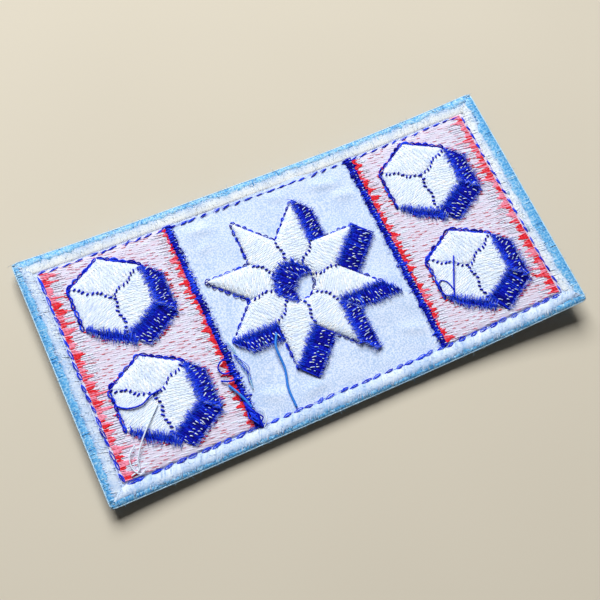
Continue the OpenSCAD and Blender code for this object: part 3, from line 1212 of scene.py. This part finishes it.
def divider_satin(start, end, rng):
    """A divider's satin threads, the fluff at their ends and the sheet beneath them"""
    lines = loosen(pair(start, end), rng, along=0.14, across=0.05)
    routes = arch(lines, foot=BACK_Z + 0.04, crown=BACK_Z + 0.38, power=2.4)
    satin = sweep(routes, mm("divider_thread"), shade=patchy(rng, len(lines), 0.5))
    roots = np.vstack([routes[:, 0], routes[:, -1]])
    fluff = hairs(rng.permutation(roots)[:110], size=0.4, half_width=0.03, shades=(0.8, 1.2), rng=rng)
    return [satin, fluff, under(routes[::3], shade=0.25)]


def divider_haze(roots, way, rng):
    """Fine hairs that lie out over the film of the middle panel"""
    count = len(roots)
    ray = spots_at(way, rng.normal(0.1, 0.25, count)) * rng.uniform(0.3, 0.8, (count, 1))
    routes = arch(pair(roots - 0.3 * ray, roots + ray), foot=BACK_Z + 0.16, crown=BACK_Z + 0.2, rings=3)
    return sweep(routes, half_width=0.06, shade=rng.uniform(0, 1, count), sides=3, taper=0.4)


def divider_flecks(low, high, rng):
    """Short flecks of white bobbin thread along a divider"""
    y = np.arange(low[1] + 0.5, high[1] - 0.5, 0.75)
    y = y + rng.normal(0, 0.12, len(y))
    middle = spots_at(low[0] + (high[0] - low[0]) * rng.uniform(0.55, 0.9, len(y)), y)
    lean = spots_at(rng.uniform(0.1, 0.3, len(y)), rng.uniform(-0.16, 0.02, len(y)))
    routes = arch(pair(middle - lean, middle + lean), foot=BACK_Z + 0.4, crown=BACK_Z + 0.5, rings=4)
    return sweep(routes, half_width=0.07, shade=rng.uniform(0.1, 0.8, len(y)), sides=5)


class PATCH_OT_dividers(bpy.types.Operator):
    """Sews the narrow navy satin columns between the panels, with flecks of white bobbin thread"""

    bl_idname = "patch.dividers"
    bl_label = "Dividers"

    def execute(self, context):
        for seed, node in enumerate(DIVIDERS, start=51):
            rng = default_rng(seed)
            low, high = plan_of(node)
            y = np.arange(low[1], high[1], mm("divider_pitch"))
            zigzag = np.where(np.arange(len(y)) % 2, 0.12, -0.12)
            start = spots_at(low[0], y - zigzag)
            end = spots_at(high[0], y + zigzag)
            open_side, way = (end, 1) if low[0] < 0 else (start, -1)
            open_side[:, 0] -= 0.2 * way
            stray = (rng.random((2, len(y))) < 0.2) * rng.uniform(0.1, 0.5, (2, len(y)))
            start[:, 0] -= stray[0]
            end[:, 0] += stray[1]
            weave(node + "_threads", divider_satin(start, end, rng), "navy thread", node)
            roots = open_side[rng.random(len(y)) < 0.8]
            weave(node + "_haze", [divider_haze(roots, way, rng)], "hazy thread")
            weave(node + "_flecks", [divider_flecks(low, high, rng)], "white thread")
        return {"FINISHED"}


# The motifs

# The height at which the motifs' satin starts, and the least that a drop shadow shows beyond a side
# that it is sewn along. The other sides have an outline.
MOTIF_FOOT = BODY_Z - 0.16
LEAST_SHADOW = 0.5


def body_height(places, outlines, foot, crown):
    """Height of a padded motif, which is low at its outline and round above it"""
    reach = 1 - np.clip(rim_distance(places, outlines) / mm("body_shoulder"), 0, 1)
    return foot + (crown - foot) * np.sqrt(1 - reach**2)


def body_bundles(node, foot, crown, pitch, rng):
    """Satin stitches over each facet of a motif, with the sheet that closes the gaps between them"""
    outlines = outlines_of(node)
    up = np.sign(crown - foot)
    dip = 0.08 * up * np.abs(2 * ease(4) - 1) ** 4
    bundles = []

    def height_of(places, facet):
        valley = np.exp(-((rim_distance(places, [facet]) / 0.5) ** 2))
        return body_height(places, outlines, foot, crown) - 0.14 * up * valley

    for facet, degrees in facets_of(node):
        lines = split_rows(hatch(facet, degrees, pitch), mm("satin_stitch"), rng)
        routes = arch(loosen(lines, rng, along=0.08, across=0.04), foot=0, crown=0, rings=4)
        routes[..., 2] = height_of(routes[..., :2], facet) - dip
        shade = np.clip(rng.normal(0.6, 0.22, len(lines)), 0, 1)
        bundles.append(sweep(routes, mm("satin_thread"), flat=0.55, shade=shade, sides=4))
        core = arch(hatch(facet, degrees, pitch=0.6), foot=0, crown=0, rings=9)
        core[..., 2] = height_of(core[..., :2], facet)
        bundles.append(under(core if up > 0 else core[:, ::-1], top=0.03, shade=0.5))
    return bundles


class PATCH_OT_motifs(bpy.types.Operator):
    """Covers the star and the hexagons with white satin, facet by facet"""

    bl_idname = "patch.motifs"
    bl_label = "Motifs"

    def execute(self, context):
        for seed, node in enumerate(MOTIFS, start=61):
            heights = (MOTIF_FOOT, BODY_Z + mm("body_crown"))
            bundles = body_bundles(node, *heights, mm("satin_pitch"), default_rng(seed))
            weave(node + "_satin", bundles, "satin thread", node)
        return {"FINISHED"}


def outline_sides(outline, outwards=1):
    """An outline's sides: both ends, the way out of the motif, and how far the shadow shows there"""
    for a, b in sides_of(outline):
        out = -outwards * left_of(unit(b - a))
        yield a, b, out, out @ SHADOW_MOVE


def cut_short(lines, blocked, skip):
    """Ends each line where it first meets a blocked place, past the skipped start"""
    kept = []
    marks = np.linspace(0, 1, 25)
    for start, end in lines:
        reach = np.linalg.norm(end - start)
        shut = blocked(start + (end - start) * marks[:, None])
        hits = shut & (marks * reach > skip)
        stop = marks[hits.argmax()] if hits.any() else 1.0
        if (reach > skip - 0.15 and not shut[-1]) or stop * reach > skip + 0.2:
            kept.append([start, start + (end - start) * stop])
    return np.array(kept)


def shadow_lines(outlines, blocked, pitch, inner):
    """Lines of a drop shadow's threads, square to each side that it shows beyond"""
    for outline, outwards in zip(outlines, (1, -1)):
        for a, b, out, depth in outline_sides(outline, outwards):
            if depth > LEAST_SHADOW:
                shape = [a - out * inner, a, a + SHADOW_MOVE, b + SHADOW_MOVE, b, b - out * inner]
                degrees = math.degrees(math.atan2(out[1], out[0]))
                lines = cut_short(hatch(np.array(shape), degrees, pitch), blocked, inner + 0.3)
                if len(lines):
                    yield lines, out


def over_edge(lines, edge, out, rings, lift_by):
    """Routes as high as a drop shadow is at their distance from the motif, and that distance"""
    routes = arch(lines, foot=0, crown=0, rings=rings)
    reach = (routes[..., :2] - edge[:, None]) @ out
    height = np.interp(reach, (-1.0, -0.5, -0.1, 0.25, 1.5), (0.5, 0.42, 0.2, 0.05, 0.0))
    routes[..., 2] = BODY_Z + height + lift_by
    return routes, reach


# Spikes of a drop shadow's frayed threads: whether they lie on the motif, and then their reach, the
# range of their half widths and the range of their tones
SPIKES = (
    (True, 1.0, (0.05, 0.09), (0.75, 1.3)),
    (True, 0.6, (0.06, 0.1), (0.6, 1.1)),
    (False, 0.5, (0.045, 0.08), (0.35, 1.0)),
)


def shadow_threads(edge, depth, out, rng):
    """Navy threads square to one side of a motif, and the sheet beneath them"""
    t = ease(8)
    start = edge - out * rng.uniform(0.0, 0.3, depth.shape)
    end = edge + out * (depth + rng.normal(-0.05, 0.12, depth.shape))
    lines = loosen(pair(start, end), rng, along=0.02, across=0.05)
    routes, reach = over_edge(lines, edge, out, rings=8, lift_by=-0.28 * t**8 - 0.08 * (1 - t) ** 8)
    shade = np.interp(reach, (-0.4, 0.2, 0.8, 1.6), (0.85, 0.55, 0.36, 0.28))
    shade = shade + rng.normal(0, 0.25, depth.shape)
    yield sweep(routes, mm("shadow_thread"), flat=0.7, shade=shade, taper=0.4, sides=5)
    yield under(routes[::3])


def shadow_spikes(edge, depth, out, rng):
    """Frayed ends that taper off over the motif and past the shadow"""
    for on_motif, far, girths, tones in SPIKES:
        pick = rng.random(len(edge)) < 0.75
        root, room = edge[pick], depth[pick]
        way = out + left_of(out) * rng.normal(0.3, 0.12, room.shape)
        if on_motif:
            start = root + way * np.minimum(rng.uniform(0.2, 0.8, room.shape), room)
            end = root - way * far * mm("fringe") * rng.uniform(0.25, 1.0, room.shape)
        else:
            start = root + out * room - way * 0.5
            end = root + out * room + way * far * rng.uniform(0.2, 1.0, room.shape)
        spikes = loosen(pair(start, end), rng, along=0.03, across=0.1)
        droop = 0.1 - (0.0 if on_motif else 0.3) * ease(5) ** 4
        routes, _ = over_edge(spikes, root, out, rings=5, lift_by=droop)
        girth = rng.uniform(*girths, len(root))
        shade = rng.uniform(*tones, len(root))
        yield sweep(routes, girth, flat=0.7, shade=shade, sides=4, taper=0.25)


def shadow_haze(edge, depth, out, rng):
    """Fine hairs at both ends of the threads"""
    for place, far in ((0.0, -1.0), (0.95, 0.8)):
        pick = rng.random(len(edge)) < 0.9
        size = (pick.sum(), 1)
        root = edge[pick] + out * depth[pick] * place
        way = out * far + left_of(out) * rng.normal(0.2, 0.2, size)
        lines = pair(root - 0.3 * way, root + way * rng.uniform(0.5, 1.5, size))
        routes, _ = over_edge(lines, edge[pick], out, rings=3, lift_by=0.12)
        yield sweep(routes, half_width=0.06, shade=rng.uniform(0, 1, len(lines)), sides=3, taper=0.4)


def shadow_flecks(edge, depth, out, rng):
    """White flecks on every third thread, in a second row where the shadow is deep"""
    for first, place, least in ((2, 0.42, 1.2), (3, 0.7, 2.6)):
        marks = np.arange(first, len(edge) - 1, 3)
        marks = marks[(depth[marks, 0] > least) & (rng.random(len(marks)) < 0.9)]
        size = (len(marks), 1)
        if len(marks):
            middle = edge[marks] + out * depth[marks] * (place + rng.normal(0, 0.08, size))
            middle += left_of(out) * rng.normal(0, 0.12, size)
            way = unit(out + left_of(out) * rng.normal(0.3, 0.25, size))
            half = way * rng.uniform(0.15, 0.5, size)
            lines = pair(middle - half, middle + half)
            routes = arch(lines, foot=BODY_Z + 0.05, crown=BODY_Z + 0.19, rings=5)
            tone = rng.uniform(0.1, 0.8, len(marks))
            yield sweep(routes, rng.uniform(0.06, 0.11, len(marks)), flat=0.7, shade=tone, sides=5)


def shadow_bundles(outlines, rng):
    """A drop shadow's navy threads and royal-blue fringe, its white flecks and its haze"""
    navy, flecks, haze = [], [], []
    inner = 0.5

    def on_body(spots):
        within = [inside(spots, outline) for outline in outlines]
        return within[0] & ~np.any(within[1:], axis=0)

    for lines, out in shadow_lines(outlines, on_body, mm("shadow_pitch"), inner):
        edge = lines[:, 0] + out * inner
        depth = np.linalg.norm(lines[:, 1] - edge, axis=1)[:, None]
        navy += shadow_threads(edge, depth, out, rng)
        navy += shadow_spikes(edge, depth, out, rng)
        haze += shadow_haze(edge, depth, out, rng)
        flecks += shadow_flecks(edge, depth, out, rng)
    return navy, flecks, haze


class PATCH_OT_drop_shadows(bpy.types.Operator):
    """Sews the navy drop shadows, which fray into royal blue against the motifs"""

    bl_idname = "patch.drop_shadows"
    bl_label = "Drop shadows"

    def execute(self, context):
        for seed, node in enumerate(MOTIFS, start=71):
            navy, flecks, haze = shadow_bundles(outlines_of(node), default_rng(seed))
            shadow = shadow_of(node)
            weave(shadow + "_threads", navy, "navy thread", shadow)
            weave(shadow + "_flecks", flecks, "white thread")
            weave(shadow + "_haze", haze, "hazy thread")
        return {"FINISHED"}


def run_lines(a, b, stitch, rng):
    """Run stitches from one place to another"""
    reach = np.linalg.norm(b - a)
    count = max(int(round(reach / stitch)), 1)
    along = (b - a) / reach
    marks = np.linspace(0, reach, count + 1)
    marks[1:-1] += rng.normal(0, 0.15 * stitch, count - 1)
    marks = marks[:, None] * along
    start = a + marks[:-1] - 0.12 * along + rng.normal(0, 0.07, (count, 2))
    end = a + marks[1:] + 0.12 * along + rng.normal(0, 0.07, (count, 2))
    return pair(start, end)


def dash_row(a, b, height_of, rng):
    """A wavy row of small navy dashes on a motif, from one place to another"""
    step = 0.85
    reach = np.linalg.norm(b - a)
    along = (b - a) / reach
    square = left_of(along)
    marks = np.arange(step * 0.6, reach - step * 0.3, step)
    marks = marks + rng.normal(0, 0.06, len(marks))
    wave = 0.3 * np.sin(marks * math.tau / 4.2 + rng.uniform(0, math.tau))
    middle = a + marks[:, None] * along + wave[:, None] * square
    turn = rng.normal(math.radians(55), 0.25, (len(marks), 1))
    way = np.cos(turn) * along + np.sin(turn) * square
    half = way * rng.uniform(0.26, 0.42, (len(marks), 1))
    routes = arch(pair(middle - half, middle + half), foot=0, crown=0.13, rings=5)
    routes[..., 2] += height_of(middle)[:, None]
    return sweep(routes, half_width=0.18, shade=rng.uniform(0.2, 0.7, len(marks)))


def seams_of(node):
    """Both ends of each seam of a motif: along the star's diamonds, or out to a hexagon's corners"""
    rim = outlines_of(node)[0]
    centre = rim.mean(axis=0)
    if node != "star":
        return [(centre, corner) for corner in rim[::2]]
    spokes = [heading(45 * i) for i in range(8)]
    return [(centre + spoke * 4.0, centre + spoke * 9.3) for spoke in spokes]


class PATCH_OT_outlines(bpy.types.Operator):
    """Sews the run stitches round the motifs' open sides, and the dashes along their seams"""

    bl_idname = "patch.outlines"
    bl_label = "Outlines and seams"

    def execute(self, context):
        rng = default_rng(81)
        for node in MOTIFS:
            outlines = outlines_of(node)
            base, bulge, strand, gap = (0.2, 0.3, 0.17, 0.0)
            if node == "star":
                base, bulge, strand, gap = (0.06, 0.22, 0.12, 0.12)
            look = {"foot": BACK_Z + base, "rise": 0.24, "shades": (0.1, 1.0)}
            bundles = []
            for ring, outwards in zip(outlines, (1, -1)):
                for a, b, out, depth in outline_sides(ring, outwards):
                    if depth < LEAST_SHADOW:
                        lines = run_lines(a + out * 0.15, b + out * 0.15, stitch=1.4, rng=rng)
                        lines += gap * (lines[:, ::-1] - lines)
                        bundles += chain(lines, bulge, strand, rng=rng, **look)

            def height_of(places):
                return body_height(places, outlines, MOTIF_FOOT, BODY_Z + mm("body_crown")) + 0.02

            bundles += [dash_row(a, b, height_of, rng) for a, b in seams_of(node)]
            weave(node + "_outline", bundles, "navy thread")
        return {"FINISHED"}


# The loose threads

# Loose threads: finish, half width, and the places that each passes
LOOSE = {
    "loose_blue_loop": (
        ("navy thread", 0.17),
        (
            (-19.6, -8.1, 2.3), (-21.2, -7.6, 2.7), (-22.4, -8.6, 2.6),
            (-21.9, -10.0, 2.5), (-19.7, -10.3, 2.3),
        ),
    ),
    "loose_blue_strand": (
        ("navy thread", 0.17),
        ((-22.9, -11.0, 2.2), (-21.4, -11.8, 2.6), (-19.7, -11.9, 2.4)),
    ),
    "loose_azure_strand": (
        ("azure thread", 0.25),
        ((-21.9, -12.4, 2.3), (-21.0, -14.3, 2.65), (-20.2, -16.3, 2.6), (-19.7, -18.0, 2.5)),
    ),
    "loose_azure_tail": (
        ("azure thread", 0.25),
        (
            (-9.4, -6.6, 2.5), (-10.7, -9.2, 2.7), (-10.8, -13.4, 2.3),
            (-11.8, -17.2, 2.2), (-11.9, -21.3, 2.1),
        ),
    ),
    "loose_white_tail": (
        ("white thread", 0.15),
        (
            (-35.3, -10.6, 2.75), (-38.2, -13.4, 3.0), (-40.6, -16.0, 2.9),
            (-42.4, -18.6, 2.5), (-42.8, -20.3, 2.3), (-44.6, -20.9, 2.3),
        ),
    ),
    "loose_white_hook": (
        ("white thread", 0.13),
        (
            (-41.9, -15.9, 2.6), (-43.6, -17.6, 2.6), (-43.9, -19.8, 2.5),
            (-42.9, -21.2, 2.4), (-41.6, -20.6, 2.4),
        ),
    ),
    "loose_blue_curve": (
        ("navy thread", 0.17),
        (
            (-42.4, -8.0, 2.5), (-40.6, -9.3, 2.85), (-38.0, -9.6, 2.95),
            (-35.8, -8.6, 2.95), (-33.6, -8.3, 2.8),
        ),
    ),
    "loose_tick": (
        ("navy thread", 0.17),
        ((29.6, -6.1, 3.4), (28.3, -8.7, 3.3), (27.0, -11.4, 3.0), (26.0, -13.9, 2.6)),
    ),
    "loose_tick_loop": (
        ("navy thread", 0.12),
        (
            (26.2, -13.6, 2.6), (24.6, -12.6, 2.5), (24.1, -10.9, 2.5), (25.0, -9.6, 2.6),
            (26.1, -10.4, 2.7), (26.5, -12.2, 2.8), (26.1, -13.6, 2.6),
        ),
    ),
}

# Tangles: finish, number of strands, half width, spread, and the way that they follow
TANGLES = {
    "tangle_divider_foot": (
        ("navy thread", 10, 0.15, 0.42),
        ((-20.6, -16.4, 2.4), (-20.2, -18.2, 2.75), (-19.6, -20.2, 2.85), (-19.2, -22.0, 2.3)),
    ),
    "tangle_foot_tail": (
        ("white thread", 1, 0.11, 0.1),
        ((-19.1, -22.2, 2.5), (-18.2, -21.4, 2.9), (-17.9, -19.8, 2.8), (-18.3, -18.4, 2.4)),
    ),
    "tangle_fine_blue": (
        ("navy thread", 4, 0.06, 0.5),
        ((-18.6, -7.2, 2.2), (-17.9, -9.2, 2.45), (-17.6, -11.2, 2.45), (-18.2, -13.4, 2.2)),
    ),
    "tangle_pale_blue": (
        ("light-blue thread", 4, 0.05, 0.4),
        ((-18.7, -4.4, 2.1), (-18.1, -7.4, 2.25), (-17.8, -11.0, 2.25), (-18.0, -15.0, 2.2)),
    ),
}


class PATCH_OT_loose_threads(bpy.types.Operator):
    """Lays the thread tails, loops and tangles that were left untrimmed"""

    bl_idname = "patch.loose_threads"
    bl_label = "Loose threads"

    def execute(self, context):
        rng = default_rng(85)
        for name, ((finish, half_width), places) in LOOSE.items():
            route = smooth_route(places, 7 * len(places))
            weave(name, [sweep(route, half_width, flat=0.9, shade=0.65, taper=0.6)], finish)
        for name, ((finish, strands, half_width, spread), places) in TANGLES.items():
            t = np.linspace(0, len(places) - 1, len(places) + 2)
            way = np.stack([np.interp(t, range(len(places)), axis) for axis in zip(*places)], axis=1)
            bundles = []
            for _ in range(strands):
                stray = np.sin(math.pi * t / t[-1])[:, None] * rng.normal(0, 1, way.shape)
                route = smooth_route(way + stray * [spread, spread, 0.12], 6 * len(places))
                tone = rng.uniform(0.4, 1.1)
                bundles.append(sweep(route, half_width, flat=0.9, shade=tone, sides=5, taper=0.6))
            weave(name, bundles, finish)
        return {"FINISHED"}


# The face

# The height from which the face's threads crown downwards, and the distances between them
FACE_TOP = CLOTH_Z - 0.03
FACE_PITCH = 0.34
FACE_WHITE_PITCH = 0.42
FACE_RED_PITCH = 0.42


def face_rows(fill, rng):
    """Red rows that fill a side panel"""
    lines = loosen(fill_lines(fill, FACE_RED_PITCH, 0, rng), rng, along=0.05)
    routes = arch(lines, foot=FACE_TOP, crown=FACE_TOP - 0.12, rings=5, power=4)
    return sweep(routes, half_width=0.22, flat=0.5, shade=rng.uniform(0.0, 0.5, len(lines)), sides=4)


def face_column(divider, rng):
    """Navy satin of a divider"""
    low, high = plan_of(divider)
    y = np.arange(low[1], high[1], FACE_PITCH)
    lines = loosen(pair(spots_at(low[0], y), spots_at(high[0], y + 0.1)), rng, along=0.04)
    routes = arch(lines, foot=FACE_TOP, crown=FACE_TOP - 0.2, rings=5)
    return sweep(routes, half_width=0.19, flat=0.7, shade=patchy(rng, len(y), 0.3), sides=5)


def face_shadow(node, rng):
    """Navy threads of a motif's drop shadow"""

    def nowhere(spots):
        return np.zeros(len(spots), bool)

    for lines, _ in shadow_lines(outlines_of(node), nowhere, FACE_PITCH, inner=0.3):
        lines = loosen(lines, rng, along=0.04)
        routes = arch(lines, foot=FACE_TOP, crown=FACE_TOP - 0.18, rings=6, power=6)
        yield sweep(routes, half_width=0.19, flat=0.6, shade=patchy(rng, len(lines), 0.3), sides=5)


class PATCH_OT_face_side(bpy.types.Operator):
    """Sews the face that lies down, plainly: red fills, navy dividers and shadows, and white motifs"""

    bl_idname = "patch.face_side"
    bl_label = "Face side"

    def execute(self, context):
        for seed, fill in enumerate(FILLS, start=91):
            face = fill.replace("panel", "face")
            weave(face + "_threads", [face_rows(fill, default_rng(seed))], "red thread", face)
        for seed, divider in enumerate(DIVIDERS, start=93):
            face = "face_" + divider
            weave(face + "_threads", [face_column(divider, default_rng(seed))], "navy thread", face)
        for seed, node in enumerate(MOTIFS, start=95):
            rng = default_rng(seed)
            face = "face_" + node
            satin = body_bundles(node, foot=FACE_TOP - 0.05, crown=0.16, pitch=FACE_WHITE_PITCH, rng=rng)
            weave(face + "_satin", satin, "satin thread", face)
            face = "face_" + shadow_of(node)
            weave(face + "_threads", list(face_shadow(node, rng)), "navy thread", face)
        return {"FINISHED"}


# The stage


class StageSettings(bpy.types.PropertyGroup):
    """Where the camera stands, and how strong the lights are"""

    camera_place: FloatVectorProperty(
        name="Camera place",
        description="Where the camera stands, as in the photo",
        default=(-0.05306, -0.0534, 0.18605),
        subtype="TRANSLATION",
    )
    camera_turn: FloatVectorProperty(
        name="Camera turn",
        description="How the camera is turned, as in the photo",
        default=(0.35152, -0.12964, -0.44253),
        subtype="EULER",
    )
    lens: FloatProperty(
        name="Lens", description="Focal length on a 36 mm sensor, in millimetres", default=61.32, min=10
    )
    key_power: FloatProperty(
        name="Key light", description="Power of the light behind the patch", default=11.4, unit="POWER"
    )
    fill_power: FloatProperty(
        name="Fill light", description="Power of the light in front", default=0.25, unit="POWER"
    )
    sky: FloatProperty(name="Sky", description="Strength of the light all round", default=0.035, min=0)


def add_light(name, place, power, size, tint):
    """A square soft light that faces the patch"""
    data = bpy.data.lights.new(name, "AREA")
    data.energy = power
    data.size = size
    data.color = tint
    light = bpy.data.objects.new(name, data)
    light.location = place
    light.rotation_euler = (-light.location).to_track_quat("-Z", "Y").to_euler()
    bpy.context.scene.collection.objects.link(light)


class PATCH_OT_stage(bpy.types.Operator):
    """Sets up the plain pale floor, the soft lights and the camera"""

    bl_idname = "patch.stage"
    bl_label = "Stage"

    def execute(self, context):
        scene = context.scene
        settings = scene.patch_stage
        camera = bpy.data.objects.new("camera", bpy.data.cameras.new("camera"))
        camera.data.lens = settings.lens
        camera.data.clip_start = 0.01
        camera.location = settings.camera_place
        camera.rotation_euler = settings.camera_turn
        scene.collection.objects.link(camera)
        scene.camera = camera
        add_light("key", (0.03, 0.57, 0.62), settings.key_power, 0.55, (1.0, 0.995, 0.98))
        add_light("fill", (-0.3, -0.4, 0.6), settings.fill_power, 0.6, (1.0, 0.96, 0.9))
        scene.world = bpy.data.worlds.new("soft sky")
        scene.world.use_nodes = True
        background = scene.world.node_tree.nodes["Background"]
        background.inputs["Color"].default_value = (1.0, 0.94, 0.87, 1)
        background.inputs["Strength"].default_value = settings.sky
        scene.view_settings.view_transform = "Standard"
        mesh = bpy.data.meshes.new("floor")
        bm = bmesh.new()
        bmesh.ops.create_grid(bm, x_segments=4, y_segments=4, size=1.5)
        bm.to_mesh(mesh)
        bm.free()
        mesh.materials.append(floor_finish())
        floor = bpy.data.objects.new("floor", mesh)
        scene.collection.objects.link(floor)
        return {"FINISHED"}


OPERATORS = (
    PATCH_OT_stage,
    PATCH_OT_ground_cloth,
    PATCH_OT_backing_film,
    PATCH_OT_border_edge,
    PATCH_OT_border_band,
    PATCH_OT_border_fuzz,
    PATCH_OT_field_ring,
    PATCH_OT_panel_fills,
    PATCH_OT_red_edges,
    PATCH_OT_dividers,
    PATCH_OT_motifs,
    PATCH_OT_drop_shadows,
    PATCH_OT_outlines,
    PATCH_OT_loose_threads,
    PATCH_OT_face_side,
)


class PATCH_PT_panel(bpy.types.Panel):
    """Lists the patch's pieces"""

    bl_label = "Embroidered patch"
    bl_space_type = "VIEW_3D"
    bl_region_type = "UI"
    bl_category = "Patch"

    def draw(self, context):
        for operator in OPERATORS:
            self.layout.operator(operator.bl_idname)


GROUPS = {"patch_sizes": PatchSizes, "patch_colours": PatchColours, "patch_stage": StageSettings}
CLASSES = (*GROUPS.values(), *OPERATORS, PATCH_PT_panel)


def register():
    for item in CLASSES:
        bpy.utils.register_class(item)
    for name, group in GROUPS.items():
        setattr(bpy.types.Scene, name, PointerProperty(type=group))


def unregister():
    for name in GROUPS:
        delattr(bpy.types.Scene, name)
    for item in reversed(CLASSES):
        bpy.utils.unregister_class(item)


def main():
    register()
    for operator in OPERATORS:
        getattr(bpy.ops.patch, operator.bl_idname.split(".")[1])()


if __name__ == "__main__":
    main()
